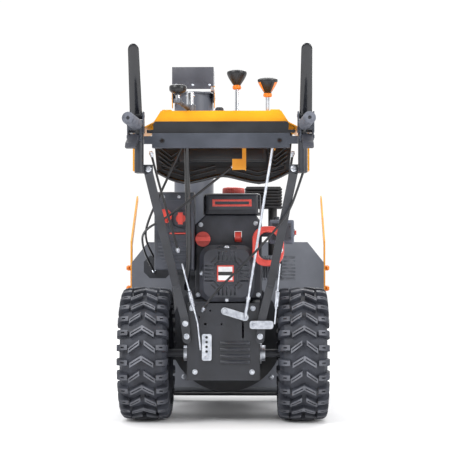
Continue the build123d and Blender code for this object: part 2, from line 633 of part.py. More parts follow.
with BuildPart() as start_button:
    rod((SWITCH_BOX_X[1] - 7, *BUTTON_PLACE), (SWITCH_BOX_X[1] + 8, *BUTTON_PLACE), 7)
start_button.part.label = "start_button"
export_step(start_button.part, "parts/start_button.step")

HANDLE_CENTRE = (133, 530)
HANDLE_Y = -232

with BuildPart() as recoil_handle:
    with BuildSketch(FRONT_ON.offset(-HANDLE_Y)):
        with Locations(HANDLE_CENTRE):
            RectangleRounded(94, 119, 40)
            RectangleRounded(56, 82, 24, mode=Mode.SUBTRACT)
    extrude(amount=-16)
    fillet(recoil_handle.edges().group_by(Axis.Y)[0], radius=5)
recoil_handle.part.label = "recoil_handle"
export_step(recoil_handle.part, "parts/recoil_handle.step")

# ---- handlebar ----
BAR_JOINTS = [(201, -480, 731), (140, -236, 415), (116, BAR_REAR, 319), (109, BAR_REAR, 253)]
POST_JOINTS = [(POST_X, POST_Y, 728), (POST_X, POST_Y, GRIP_Z), (236, -690, GRIP_Z)]
POST_BEND = 30


def make_bar(side):
    """A flat bar bent twice; it runs from the frame case up to the dash."""
    points = [(side * x, y, z) for x, y, z in BAR_JOINTS]
    with BuildPart() as bar:
        for start, end in zip(points, points[1:]):
            run = Vector(end) - Vector(start)
            with Locations(Plane(origin=start, x_dir=(1, 0, -run.X / run.Z), z_dir=run)):
                Box(24, 13, run.length, align=BOTTOM_UP)
            rod((end[0], end[1] - 6.5, end[2]), (end[0], end[1] + 6.5, end[2]), 12)
        block(mirrored((189, 234), side), (-486.5, -473.5), (728, 752))
    return bar.part


def make_post(side, radius):
    """The tube that carries the grip."""
    return bent_rod([(side * x, y, z) for x, y, z in POST_JOINTS], radius, POST_BEND)


posts = [make_post(-1, POST_R), make_post(1, POST_R)]
post_room = [make_post(-1, POST_R + 0.1), make_post(1, POST_R + 0.1)]
bars = [make_bar(-1), make_bar(1)]

with BuildPart() as handlebar:
    add(posts + bars)
handlebar.part.label = "handlebar"
export_step(handlebar.part, "parts/handlebar.step")

GRIP_REAR = -693.1

with BuildPart() as grips:
    for side in (-1, 1):
        front = (side * 228, -552, GRIP_Z)
        rod(front, (side * 236.1, GRIP_REAR, GRIP_Z), GRIP_R)
        rod(front, (side * 236, -691, GRIP_Z), POST_R + RUN_FIT, mode=Mode.SUBTRACT)
        rod((side * 236, -690, GRIP_Z), (side * 236.1, GRIP_REAR - 1, GRIP_Z), 4, mode=Mode.SUBTRACT)
grips.part.label = "grips"
export_step(grips.part, "parts/grips.step")

PADDLE_X = 234
PADDLE_PIVOT = (POST_Y, 885)
TRIGGER_PIVOT = (-533, 824)
PIN_R = 5


def make_clamp(side):
    """The steel clamp on one post: ears and pins for the paddle above and the trigger below."""
    with BuildPart() as clamp:
        block(mirrored((211, 257), side), (-513, -487), (838, 873))
        for ear in ((211, 215), (253, 257)):
            block(mirrored(ear, side), (-512, -488), (872, 896))
        for ear in ((216, 220), (250, 254)):
            block(mirrored(ear, side), (-544, -512), (814, 858))
        block(mirrored((216, 254), side), (-546, -540), (842, 858))
        add(post_room, mode=Mode.SUBTRACT)
        rod((side * 210, *PADDLE_PIVOT), (side * 259, *PADDLE_PIVOT), PIN_R)
        rod((side * 214, *TRIGGER_PIVOT), (side * 256, *TRIGGER_PIVOT), PIN_R)
    return clamp.part


clamps = [make_clamp(-1), make_clamp(1)]

with BuildPart() as crossbar:
    block((-190, 190), (-497, -494), (798, 838))
    block((-190, 190), (-494, -474), (798, 801))
    block((-190, 190), (-494, -474), (835, 838))
    for side in (-1, 1):
        block(mirrored((190, 212.4), side), (-497, -494), (808, 830))
        rod((side * 162, -498, 817), (side * 162, -490, 817), 4, mode=Mode.SUBTRACT)

with BuildPart() as dash_crossbar:
    add([crossbar.part] + clamps)
dash_crossbar.part.label = "dash_crossbar"
export_step(dash_crossbar.part, "parts/dash_crossbar.step")

# ---- dash ----
PANEL_Y = (-480, -272)
CRANK_PLACE = (-88, -430)
DEFLECTOR_LEVER_X = 43
SPEED_LEVER_X = 130
PANEL_EDGE = [(243, 735), (243, 842), (205, 862), (187, 871), (167, PANEL_Z)]
PANEL_INNER = [(240, 735), (240, 840), (204, 859), (185, 868.5), (165, PANEL_Z - SHEET)]


def closed_across(half):
    """A half outline and its mirror image as one closed list of points."""
    return half + [(-x, z) for x, z in reversed(half)]


with BuildPart() as dash_panel:
    with BuildSketch(FRONT_ON.offset(-PANEL_Y[0])):
        with BuildLine():
            Polyline(*closed_across(PANEL_EDGE), close=True)
        make_face()
        with BuildLine():
            Polyline(*closed_across(PANEL_INNER), close=True)
        make_face(mode=Mode.SUBTRACT)
    extrude(amount=PANEL_Y[0] - PANEL_Y[1])
    with BuildSketch(SIDE_ON.offset(-250)):
        with BuildLine():
            Polyline((-430, 730), (PANEL_Y[1] + 1, 730), (PANEL_Y[1] + 1, 832), close=True)
        make_face()
    extrude(amount=500, mode=Mode.SUBTRACT)
    with BuildSketch(FRONT_ON.offset(-PANEL_Y[0])):
        with BuildLine():
            Polyline(*closed_across([(187, 868), (167, PANEL_Z - 1)]), close=True)
        make_face()
    extrude(amount=-SHEET)
    for x, span in ((DEFLECTOR_LEVER_X, (-464, -388)), (SPEED_LEVER_X, (-440, -360))):
        block((x - 8, x + 8), span, (PANEL_Z - 8, PANEL_Z + 1), mode=Mode.SUBTRACT)
    rod((*CRANK_PLACE, PANEL_Z - 8), (*CRANK_PLACE, PANEL_Z + 1), 8 + RUN_FIT, mode=Mode.SUBTRACT)
dash_panel.part.label = "dash_panel"
export_step(dash_panel.part, "parts/dash_panel.step")

FAIRING_EDGE = [(0, 738), (60, 722), (106, 712), (150, 722), (194, 745), (205, 862), (187, 871), (167, PANEL_Z)]
FAIRING_Y = (PANEL_Y[1] + 0.2, -246)

with BuildPart() as fairing:
    with BuildSketch(FRONT_ON.offset(-FAIRING_Y[0])):
        with BuildLine():
            Polyline(*(FAIRING_EDGE + [(-x, z) for x, z in reversed(FAIRING_EDGE[1:])]), close=True)
        make_face()
    extrude(amount=FAIRING_Y[0] - FAIRING_Y[1])
    chamfer(fairing.edges().group_by(Axis.Y)[-1], 8)
    block((-180, 180), (FAIRING_Y[0] - 1, FAIRING_Y[0] + 8), (760, 880), mode=Mode.SUBTRACT)

with BuildPart() as trim_strip:
    block((-187, 187), (-492, -486), (839, 871))
    fillet(trim_strip.edges().filter_by(Axis.Y).group_by(Axis.Z)[-1], radius=8)
    block((-205, 205), (-490, -486), (839, 848))

with BuildPart() as dash_fairing:
    add([fairing.part, trim_strip.part])
dash_fairing.part.label = "dash_fairing"
export_step(dash_fairing.part, "parts/dash_fairing.step")

with BuildPart() as control_bracket:
    block((30, 69), (-412, -409), (743, 774))
    block((58, 69), (-412, -409), (743, 804))
    for x in (62, 148):
        block((x, x + 4), (-412, -388), (800, PANEL_Z - SHEET))
    block((66, 69), (-412, -380), (743, 790))
    rod((26, *LEVER_PIVOT), (153, *LEVER_PIVOT), PIN_R)
control_bracket.part.label = "control_bracket"
export_step(control_bracket.part, "parts/control_bracket.step")

# ---- squeeze paddles and steering triggers ----
PADDLE_LEAN = 23.5


def make_paddle(side):
    """A flat blade on a hub; it leans back and folds down on the grip."""
    lean = math.radians(PADDLE_LEAN)
    blade_plane = Plane(origin=(side * PADDLE_X, *PADDLE_PIVOT), x_dir=(1, 0, 0),
                        z_dir=(0, -math.cos(lean), -math.sin(lean)))
    with BuildPart() as paddle:
        with BuildSketch(blade_plane):
            with BuildLine():
                Polyline((-14, 0), (14, 0), (18, 186), (-18, 186), close=True)
            make_face()
            with Locations((0, 186)):
                Circle(18)
        extrude(amount=5.5, both=True)
        fillet(paddle.edges().group_by(Axis.Z)[-1], radius=4)
        rod((side * (PADDLE_X - 18), *PADDLE_PIVOT), (side * (PADDLE_X + 18), *PADDLE_PIVOT), 10)
        rod((side * (PADDLE_X - 20), *PADDLE_PIVOT), (side * (PADDLE_X + 20), *PADDLE_PIVOT), PIN_R + RUN_FIT,
            mode=Mode.SUBTRACT)
    return paddle.part


with BuildPart() as paddle_left:
    add(make_paddle(-1))
paddle_left.part.label = "paddle_left"
export_step(paddle_left.part, "parts/paddle_left.step")

with BuildPart() as paddle_right:
    add(make_paddle(1))
paddle_right.part.label = "paddle_right"
export_step(paddle_right.part, "parts/paddle_right.step")


def make_trigger(side):
    """A finger lever below the grip, ribbed across."""
    y, z = TRIGGER_PIVOT
    with BuildPart() as trigger:
        with BuildSketch(SIDE_ON.offset(side * 221)):
            with BuildLine():
                Polyline((y + 4, z + 7), (y - 20, z + 2), (y - 100, z - 26), (y - 112, z - 38),
                         (y - 96, z - 40), (y - 20, z - 12), (y + 4, z - 8), close=True)
            make_face()
        extrude(amount=side * 28)
        rod((side * 221, y, z), (side * 249, y, z), 8.5)
        rod((side * 220, y, z), (side * 250, y, z), PIN_R + RUN_FIT, mode=Mode.SUBTRACT)
    return trigger.part


with BuildPart() as trigger_left:
    add(make_trigger(-1))
trigger_left.part.label = "trigger_left"
export_step(trigger_left.part, "parts/trigger_left.step")

with BuildPart() as trigger_right:
    add(make_trigger(1))
trigger_right.part.label = "trigger_right"
export_step(trigger_right.part, "parts/trigger_right.step")

# ---- dash levers ----


def make_lever(x, lean, reach):
    """A bright round shaft on a pivot tube with a flared plastic knob on top."""
    y, z = LEVER_PIVOT
    aim = Vector(0, -math.sin(math.radians(lean)), math.cos(math.radians(lean)))
    foot = Vector(x, y, z)
    with BuildPart() as lever:
        rod((x - 9, y, z), (x + 9, y, z), 10)
        rod(foot, foot + aim * (reach - 20), 6)
        with Locations(Plane(origin=foot + aim * (reach - 54), z_dir=aim)):
            Cylinder(11, 16, align=BOTTOM_UP)
        with Locations(Plane(origin=foot + aim * (reach - 40), z_dir=aim)):
            Cone(12, 28, 26, align=BOTTOM_UP)
        with Locations(Plane(origin=foot + aim * (reach - 14), z_dir=aim)):
            Cylinder(28, 8, align=BOTTOM_UP)
            Cone(28, 20, 14, align=BOTTOM_UP)
        rod((x - 10, y, z), (x + 10, y, z), PIN_R + RUN_FIT, mode=Mode.SUBTRACT)
    return lever.part


SPEED_LEAN = 9

with BuildPart() as deflector_lever:
    add(make_lever(DEFLECTOR_LEVER_X, 0, 213))
deflector_lever.part.label = "deflector_lever"
export_step(deflector_lever.part, "parts/deflector_lever.step")

speed_shaft = make_lever(SPEED_LEVER_X, SPEED_LEAN, 190)

with BuildPart() as speed_lever:
    add(speed_shaft)
    block((SPEED_LEVER_X + 4, SPEED_LEVER_X + 8), (-462, -409.8), (LEVER_PIVOT[1] - 6, LEVER_PIVOT[1] + 4))
speed_lever.part.label = "speed_lever"
export_step(speed_lever.part, "parts/speed_lever.step")

CRANK_KNOB = (-118, -505)

with BuildPart() as chute_crank:
    rod((*CRANK_PLACE, 876), (*CRANK_PLACE, 962), 8)
    rod((*CRANK_PLACE, 880), (*CRANK_PLACE, 892), 18)
    rod((*CRANK_PLACE, PANEL_Z + 1), (*CRANK_PLACE, PANEL_Z + 16), 15)
    rod((*CRANK_PLACE, 914), (*CRANK_KNOB, 926), 7)
    rod((*CRANK_KNOB, 918), (*CRANK_KNOB, 945), 8)
    rod((*CRANK_KNOB, 942), (*CRANK_KNOB, 970), 24)
    fillet(chute_crank.edges().group_by(Axis.Z)[-1], radius=10)
chute_crank.part.label = "chute_crank"
export_step(chute_crank.part, "parts/chute_crank.step")

# ---- rods and arms ----
ARM_Y = CASE_REAR - SHEET - 4
SHIFT_PIVOT = (4, 337)
SHIFT_END = (64, 319)
OUTER_ARM_Y = -236
LEFT_ARM_PIVOT = (-50, 200)
RIGHT_ARM_PIVOT = (90, 297)
SHIFT_ROD_TOP = (143.5, -452, 806)
SHIFT_ROD_FOOT = (64, -232, 312)
ROD_R = 3
LEFT_ROD = [(-121, -262, 478), (-100.6, -250, 399), (-87.5, -243, 348), (-76, -236, 302), (-68, -231, 222)]
RIGHT_ROD = [(167, -262, 478), (160, -254, 399), (156, -249, 348), (152, -243, 300)]

with BuildPart() as shift_arm:
    for x, z in (SHIFT_PIVOT, SHIFT_END):
        rod((x, ARM_Y, z), (x, ARM_Y - SHEET, z), 11)
    run = math.hypot(SHIFT_END[0] - SHIFT_PIVOT[0], SHIFT_END[1] - SHIFT_PIVOT[1])
    slope = math.degrees(math.atan2(SHIFT_PIVOT[1] - SHIFT_END[1], SHIFT_END[0] - SHIFT_PIVOT[0]))
    middle = ((SHIFT_PIVOT[0] + SHIFT_END[0]) / 2, ARM_Y - SHEET / 2, (SHIFT_PIVOT[1] + SHIFT_END[1]) / 2)
    with Locations(Location(middle) * Rotation(0, slope, 0)):
        Box(run, SHEET, 22)
    rod((SHIFT_PIVOT[0], ARM_Y + 1, SHIFT_PIVOT[1]), (SHIFT_PIVOT[0], ARM_Y - 4, SHIFT_PIVOT[1]),
        PIN_R + RUN_FIT, mode=Mode.SUBTRACT)
shift_arm.part.label = "shift_arm"
export_step(shift_arm.part, "parts/shift_arm.step")

with BuildPart() as shift_rod:
    rod(SHIFT_ROD_TOP, SHIFT_ROD_FOOT, 4)
    foot = Vector(SHIFT_ROD_FOOT)
    aim = (Vector(SHIFT_ROD_TOP) - foot).normalized()
    rod(foot + aim * 14, foot + aim * 70, 6)
shift_rod.part.label = "shift_rod"
export_step(shift_rod.part, "parts/shift_rod.step")


def make_clutch_rod(points):
    """A clutch rod with its spring in the middle and an eye below."""
    with BuildPart() as clutch_rod:
        for start, end in zip(points, points[1:]):
            rod(start, end, ROD_R)
            with Locations(end):
                Sphere(ROD_R)
        rod(points[1], points[2], 7.5)
    return clutch_rod.part


with BuildPart() as clutch_rod_left:
    add(make_clutch_rod(LEFT_ROD))
clutch_rod_left.part.label = "clutch_rod_left"
export_step(clutch_rod_left.part, "parts/clutch_rod_left.step")

with BuildPart() as clutch_rod_right:
    add(make_clutch_rod(RIGHT_ROD))
clutch_rod_right.part.label = "clutch_rod_right"
export_step(clutch_rod_right.part, "parts/clutch_rod_right.step")

with BuildPart() as clutch_arm_left:
    block((-64, -35), (ARM_Y - SHEET, ARM_Y), (190, 269))
    fillet(clutch_arm_left.edges().filter_by(Axis.Y), radius=6)
    rod((LEFT_ARM_PIVOT[0], ARM_Y + 1, LEFT_ARM_PIVOT[1]), (LEFT_ARM_PIVOT[0], ARM_Y - 4, LEFT_ARM_PIVOT[1]),
        PIN_R + RUN_FIT, mode=Mode.SUBTRACT)
    for hole in range(4):
        z = 217 + 14 * hole
        rod((-50, ARM_Y + 1, z), (-50, ARM_Y - 4, z), 4, mode=Mode.SUBTRACT)
clutch_arm_left.part.label = "clutch_arm_left"
export_step(clutch_arm_left.part, "parts/clutch_arm_left.step")

with BuildPart() as clutch_arm_right:
    block((78, 148), (OUTER_ARM_Y - SHEET, OUTER_ARM_Y), (285, 309))
    fillet(clutch_arm_right.edges().filter_by(Axis.Y), radius=8)
    rod((RIGHT_ARM_PIVOT[0], OUTER_ARM_Y + 1, RIGHT_ARM_PIVOT[1]),
        (RIGHT_ARM_PIVOT[0], OUTER_ARM_Y - 4, RIGHT_ARM_PIVOT[1]), PIN_R + RUN_FIT, mode=Mode.SUBTRACT)
clutch_arm_right.part.label = "clutch_arm_right"
export_step(clutch_arm_right.part, "parts/clutch_arm_right.step")

# ---- chute and deflector ----
CHUTE_WALL = 3
CHUTE_HALF = 65
DEFLECTOR_PIVOT = (CHUTE_Y - 20, 1030)

with BuildPart() as chute_tube:
    ring((CHUTE_X, CHUTE_Y, NECK_TOP + 1), (CHUTE_X, CHUTE_Y, CHUTE_FOOT + 8), 86, CHUTE_HALF - CHUTE_WALL)
    with BuildSketch(Plane.XY.offset(CHUTE_FOOT)):
        with Locations((CHUTE_X, CHUTE_Y)):
            Circle(CHUTE_HALF)
            Circle(CHUTE_HALF - CHUTE_WALL, mode=Mode.SUBTRACT)
    extrude(amount=90)
    with BuildSketch(Plane.XY.offset(CHUTE_FOOT + 90)):
        with Locations((CHUTE_X, CHUTE_Y)):
            Circle(CHUTE_HALF)
        with Locations((CHUTE_X, CHUTE_Y + 30)):
            Rectangle(2 * CHUTE_HALF, 60)
        with Locations((CHUTE_X, CHUTE_Y)):
            Circle(CHUTE_HALF - CHUTE_WALL, mode=Mode.SUBTRACT)
        with Locations((CHUTE_X, CHUTE_Y + 40)):
            Rectangle(2 * (CHUTE_HALF - CHUTE_WALL), 80, mode=Mode.SUBTRACT)
    extrude(amount=CHUTE_TOP - CHUTE_FOOT - 90)
    for side in (-1, 1):
        hole = CHUTE_X + side * CHUTE_HALF
        rod((hole - side * 4, *DEFLECTOR_PIVOT), (hole + side * 7.5, *DEFLECTOR_PIVOT), PIN_R - 1)
chute_tube.part.label = "chute_tube"
export_step(chute_tube.part, "parts/chute_tube.step")

CHEEK_OUT = CHUTE_HALF + 4

with BuildPart() as deflector:
    for side in (-1, 1):
        with BuildSketch(SIDE_ON.offset(CHUTE_X + side * (CHUTE_HALF + 1))):
            with BuildLine():
                Polyline((CHUTE_Y - 66, 1056), (DEFLECTOR_PIVOT[0] - 14, 1018), (DEFLECTOR_PIVOT[0] + 14, 1018),
                         (CHUTE_Y + 50, 1075), (CHUTE_Y + 20, 1131), (CHUTE_Y - 66, 1131), close=True)
            make_face()
        extrude(amount=side * 3)
        with BuildSketch(SIDE_ON.offset(CHUTE_X + side * (CHEEK_OUT + 0.1))):
            with BuildLine():
                Polyline((DEFLECTOR_PIVOT[0] - 9, 1000), (DEFLECTOR_PIVOT[0] + 9, 1000),
                         (DEFLECTOR_PIVOT[0] - 2, 1072), (DEFLECTOR_PIVOT[0] - 20, 1072), close=True)
            make_face()
        extrude(amount=side * 3)
    block((CHUTE_X - CHEEK_OUT, CHUTE_X + CHEEK_OUT), (CHUTE_Y - 69, CHUTE_Y - 66), (1056, 1131))
    pin_reach = CHUTE_HALF + 10
    rod((CHUTE_X - pin_reach, *DEFLECTOR_PIVOT), (CHUTE_X + pin_reach, *DEFLECTOR_PIVOT), PIN_R - 1 + RUN_FIT,
        mode=Mode.SUBTRACT)
deflector.part.label = "deflector"
export_step(deflector.part, "parts/deflector.step")

# ---- drift cutters ----
CUTTER_IN = HOUSING_HALF + 0.5
KNOB_LINE = 352
KNOB_HEIGHTS = (393, 463)


def make_cutter(side):
    """A flat bar that stands up at the side of the housing and leans forward at the top."""
    with BuildPart() as cutter:
        with BuildSketch(SIDE_ON.offset(side * CUTTER_IN)):
            with BuildLine():
                Polyline((338, 350), (366, 350), (366, 540), (566, 706), (556, 724), (540, 716), (338, 556),
                         close=True)
            make_face()
            with Locations((KNOB_LINE, 455)):
                SlotOverall(150, 9, rotation=90, mode=Mode.SUBTRACT)
        extrude(amount=side * 5)
    return cutter.part


with BuildPart() as drift_cutter_left:
    add(make_cutter(-1))
drift_cutter_left.part.label = "drift_cutter_left"
export_step(drift_cutter_left.part, "parts/drift_cutter_left.step")

with BuildPart() as drift_cutter_right:
    add(make_cutter(1))
drift_cutter_right.part.label = "drift_cutter_right"
export_step(drift_cutter_right.part, "parts/drift_cutter_right.step")

# ---- cables, each held at both ends ----
CABLE_R = 3.5
LEFT_SHEATH = [(-196, -470, 790), (-175, -440, 700), (-150, -362, 600), (-130, -290, 512)]
RIGHT_SHEATH = [(200, -462, 790), (186, -430, 700), (180, -345, 600), (169, -276, 512)]
CROSS_CABLE = [(232, -470, 745), (214, -466, 690), (192, -424, 628), (153, -378, 574), (82, -338, 497),
               (-38, -275, 380), (-62, -240, 338)]
CHUTE_CABLE = [(-88, -404, 862), (-157, -396, 715), (-228, -280, 588), (-242, -100, 545), (-232, 60, 500),
               (-222, 133, 478)]
DEFLECTOR_CABLE = [(40, -404, 760), (-90, -380, 660), (-160, -325, 612), (-240, -250, 575), (-254, -90, 530),
                   (-246, 60, 480), (-236, 133, 452)]
CONDUIT = [(-102, -360, 812), (-101, -300, 600), (-101, -248, 483), (-110, -222, 432), (-112, -180, 404)]

cables = [bent_rod(route, CABLE_R, 30) for route in (LEFT_SHEATH, RIGHT_SHEATH, CHUTE_CABLE, DEFLECTOR_CABLE)]
cables.append(bent_rod(CROSS_CABLE, CABLE_R, 25))
cables.append(bent_rod(CONDUIT, 7.5, 25))

with BuildPart() as control_cables:
    add(cables)
control_cables.part.label = "control_cables"
export_step(control_cables.part, "parts/control_cables.step")

# ---- fasteners and wing knobs ----
HEAD_R = 7
HEAD_H = 5
COVER_BOLTS = [(-85, 156), (85, 156), (-95, 345), (88, 345)]
BAR_BOLTS = [(-113, 300), (113, 300), (-109, 262), (109, 262)]
SCREW_PLACES = [(x, CASE_REAR - SHEET, z) for x, z in COVER_BOLTS]
SCREW_PLACES += [(x, BAR_REAR - 6.5, z) for x, z in BAR_BOLTS]
SCREW_PLACES += [(side * 201, -486.5, 740) for side in (-1, 1)]

with BuildPart() as screws:
    for x, y, z in SCREW_PLACES:
        rod((x, y - 0.1, z), (x, y - HEAD_H, z), HEAD_R)

with BuildPart() as pins:
    rod((SHIFT_PIVOT[0], CASE_REAR - SHEET - 0.1, SHIFT_PIVOT[1]), (SHIFT_PIVOT[0], -226, SHIFT_PIVOT[1]), PIN_R)
    rod((SHIFT_PIVOT[0], -223, SHIFT_PIVOT[1]), (SHIFT_PIVOT[0], -228, SHIFT_PIVOT[1]), HEAD_R + 1)
    rod((LEFT_ARM_PIVOT[0], CASE_REAR - SHEET - 0.1, LEFT_ARM_PIVOT[1]),
        (LEFT_ARM_PIVOT[0], -226, LEFT_ARM_PIVOT[1]), PIN_R)
    rod((RIGHT_ARM_PIVOT[0], CASE_REAR - SHEET - 0.1, RIGHT_ARM_PIVOT[1]),
        (RIGHT_ARM_PIVOT[0], -244, RIGHT_ARM_PIVOT[1]), PIN_R)

with BuildPart() as wing_knobs:
    for side in (-1, 1):
        for z in KNOB_HEIGHTS:
            rod((side * (HOUSING_HALF + 0.1), KNOB_LINE, z), (side * (CUTTER_IN + 8), KNOB_LINE, z), 4)
            rod((side * (CUTTER_IN + 5.5), KNOB_LINE, z), (side * 349, KNOB_LINE, z), 9)
            block(mirrored((CUTTER_IN + 8, 350), side), (KNOB_LINE - 20, KNOB_LINE + 20), (z - 5, z + 5))

with BuildPart() as fasteners:
    add([screws.part, pins.part, wing_knobs.part])
fasteners.part.label = "fasteners"
export_step(fasteners.part, "parts/fasteners.step")
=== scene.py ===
import math

import bmesh
import bpy
from mathutils import Matrix, Vector


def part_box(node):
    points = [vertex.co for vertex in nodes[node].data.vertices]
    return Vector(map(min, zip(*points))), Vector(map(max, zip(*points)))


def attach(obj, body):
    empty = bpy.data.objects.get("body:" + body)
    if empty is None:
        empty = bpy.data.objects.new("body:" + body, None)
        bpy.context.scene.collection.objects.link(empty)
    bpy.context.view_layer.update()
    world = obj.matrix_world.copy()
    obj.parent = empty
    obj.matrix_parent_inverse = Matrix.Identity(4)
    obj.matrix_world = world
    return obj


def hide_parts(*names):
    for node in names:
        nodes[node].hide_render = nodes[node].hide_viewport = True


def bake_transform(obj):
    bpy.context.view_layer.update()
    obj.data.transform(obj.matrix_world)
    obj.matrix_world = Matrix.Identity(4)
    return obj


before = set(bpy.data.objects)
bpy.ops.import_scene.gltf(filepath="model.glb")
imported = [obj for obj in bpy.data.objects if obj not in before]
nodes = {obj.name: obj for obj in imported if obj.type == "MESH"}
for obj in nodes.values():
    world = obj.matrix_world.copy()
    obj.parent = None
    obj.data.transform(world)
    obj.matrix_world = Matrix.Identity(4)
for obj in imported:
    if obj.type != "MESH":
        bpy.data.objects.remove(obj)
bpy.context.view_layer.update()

# ---------------------------------------------------------------------------------------------
# Tyres: vulcanised rubber over a low carcass.  Rows of heavy lugs lean back from the crown in pairs,
# joined on the crown in every other row, and shorter lugs between them wrap over the shoulders.
# ---------------------------------------------------------------------------------------------
MM = 0.001
scene = bpy.context.scene
AXLE = (-90, 203)
TRACK = 238
CARCASS = [(0, 189), (22, 189), (44, 186.5), (58, 182), (66, 172), (69, 158), (69, 150), (70.5, 146),
           (69, 142), (64.5, 136), (66, 132), (64, 128), (57, 118), (55, 113), (51, 108), (50, 101),
           (40, 101)]
TREAD_RADIUS = 203
LUG_ROWS = 28
GROOVE_HALF = 2.1
GROOVE_DEPTH = 5
# Along each lug: how far across its top and root lie, their radii, half its thickness, and its groove.
SHOULDER_LUG = [(42, 201, 42, 184.5, 7.5, 0), (51, 200.4, 50, 182, 8, 0), (52.5, 200.2, 51, 182, 8.1, 5),
                (60, 199, 57, 180, 8.5, 5), (61.5, 198.6, 58, 179, 8.7, 0), (66, 197.5, 61, 176, 9, 0),
                (71, 193.5, 63, 173, 9.3, 0), (74, 188, 64, 172, 9.6, 0), (75.6, 176, 65, 168, 10, 0),
                (75.6, 160, 67, 158, 10, 0)]
SHOULDER_LAG = 14.6


def linear(hex_colour):
    """A "#RRGGBB" colour as linear red, green, blue and alpha."""
    parts = [int(hex_colour[i:i + 2], 16) / 255 for i in (1, 3, 5)]
    return [c / 12.92 if c <= 0.04045 else ((c + 0.055) / 1.055) ** 2.4 for c in parts] + [1.0]


def add_node(tree, kind, settings=None, values=None, links=None):
    """Adds a node: settings are its properties, values its input values, links its inputs' sources."""
    node = tree.nodes.new(kind)
    for name, value in (settings or {}).items():
        setattr(node, name, value)
    for name, value in (values or {}).items():
        node.inputs[name].default_value = value
    for name, source in (links or {}).items():
        tree.links.new(source, node.inputs[name])
    return node


def start_material(name, hex_colour, roughness, metallic=0.0, **sockets):
    """A material whose plain values stand on its shader; returns it, its tree and its shader."""
    material = bpy.data.materials.new(name)
    material.use_nodes = True
    tree = material.node_tree
    shader = tree.nodes["Principled BSDF"]
    shader.inputs["Base Color"].default_value = linear(hex_colour)
    shader.inputs["Roughness"].default_value = roughness
    shader.inputs["Metallic"].default_value = metallic
    for name_of_socket, value in sockets.items():
        shader.inputs[name_of_socket.replace("_", " ").title().replace("Ior", "IOR")].default_value = value
    return material, tree, shader


def mottle(tree, shader, dark, light, cloud_mm, rough_low, rough_high):
    """Soft clouds of one colour and sheen over another, as dust and handling leave them."""
    place = add_node(tree, "ShaderNodeTexCoord")
    cloud = add_node(tree, "ShaderNodeTexNoise", values={"Scale": 1 / (cloud_mm * MM), "Detail": 5.0},
                     links={"Vector": place.outputs["Object"]})
    colour = add_node(tree, "ShaderNodeValToRGB", links={"Fac": cloud.outputs["Fac"]})
    colour.color_ramp.elements[0].position = 0.35
    colour.color_ramp.elements[0].color = linear(dark)
    colour.color_ramp.elements[1].position = 0.68
    colour.color_ramp.elements[1].color = linear(light)
    tree.links.new(colour.outputs["Color"], shader.inputs["Base Color"])
    sheen = add_node(tree, "ShaderNodeMapRange", values={"To Min": rough_low, "To Max": rough_high},
                     links={"Value": cloud.outputs["Fac"]})
    tree.links.new(sheen.outputs["Result"], shader.inputs["Roughness"])
    return place, cloud, colour


def grain(tree, shader, place, grain_mm, depth_mm, strength=0.5):
    """The fine relief of a moulded, cast or sprayed surface."""
    speck = add_node(tree, "ShaderNodeTexNoise", values={"Scale": 1 / (grain_mm * MM), "Detail": 3.0},
                     links={"Vector": place.outputs["Object"]})
    bump = add_node(tree, "ShaderNodeBump", values={"Strength": strength, "Distance": depth_mm * MM},
                    links={"Height": speck.outputs["Fac"]})
    tree.links.new(bump.outputs["Normal"], shader.inputs["Normal"])
    return speck, bump


def paint_piece(piece, *materials):
    """Gives a piece its materials, in the order of its faces' material numbers."""
    for material in materials:
        piece.data.materials.append(material)


def new_piece(name, bm, *materials, smooth_angle=35):
    """Turns a bmesh in millimetres into an object in metres, smooth but for its sharp edges."""
    bmesh.ops.recalc_face_normals(bm, faces=bm.faces)
    bmesh.ops.scale(bm, vec=(MM, MM, MM), verts=bm.verts)
    mesh = bpy.data.meshes.new(name)
    bm.to_mesh(mesh)
    bm.free()
    mesh.shade_smooth()
    mesh.set_sharp_from_angle(angle=math.radians(smooth_angle))
    piece = bpy.data.objects.new(name, mesh)
    scene.collection.objects.link(piece)
    paint_piece(piece, *materials)
    return piece


def tread_rubber():
    """Carbon black rubber: dull, a little blue, and scuffed grey where the lugs meet the ground."""
    rubber, tree, shader = start_material("tread_rubber", "#30333C", 0.62)
    place, cloud, colour = mottle(tree, shader, "#262830", "#3A3D46", 38, 0.5, 0.72)
    from_axle = add_node(tree, "ShaderNodeVectorMath", {"operation": "SUBTRACT"},
                         links={0: place.outputs["Object"]})
    from_axle.inputs[1].default_value = (0, AXLE[0] * MM, AXLE[1] * MM)
    across = add_node(tree, "ShaderNodeVectorMath", {"operation": "MULTIPLY"},
                      links={0: from_axle.outputs["Vector"]})
    across.inputs[1].default_value = (0, 1, 1)
    radius = add_node(tree, "ShaderNodeVectorMath", {"operation": "LENGTH"},
                      links={0: across.outputs["Vector"]})
    worn = add_node(tree, "ShaderNodeMapRange",
                    values={"From Min": 0.1975, "From Max": 0.2035, "To Max": 0.75},
                    links={"Value": radius.outputs["Value"]})
    patchy = add_node(tree, "ShaderNodeMath", {"operation": "MULTIPLY"},
                      links={0: worn.outputs["Result"], 1: cloud.outputs["Fac"]})
    scuff = add_node(tree, "ShaderNodeMix", {"data_type": "RGBA"},
                     links={"Factor": patchy.outputs["Value"], 6: colour.outputs["Color"]})
    scuff.inputs[7].default_value = linear("#9A9CA4")
    tree.links.new(scuff.outputs[2], shader.inputs["Base Color"])
    grain(tree, shader, place, 1.6, 0.25, 0.5)
    return rubber


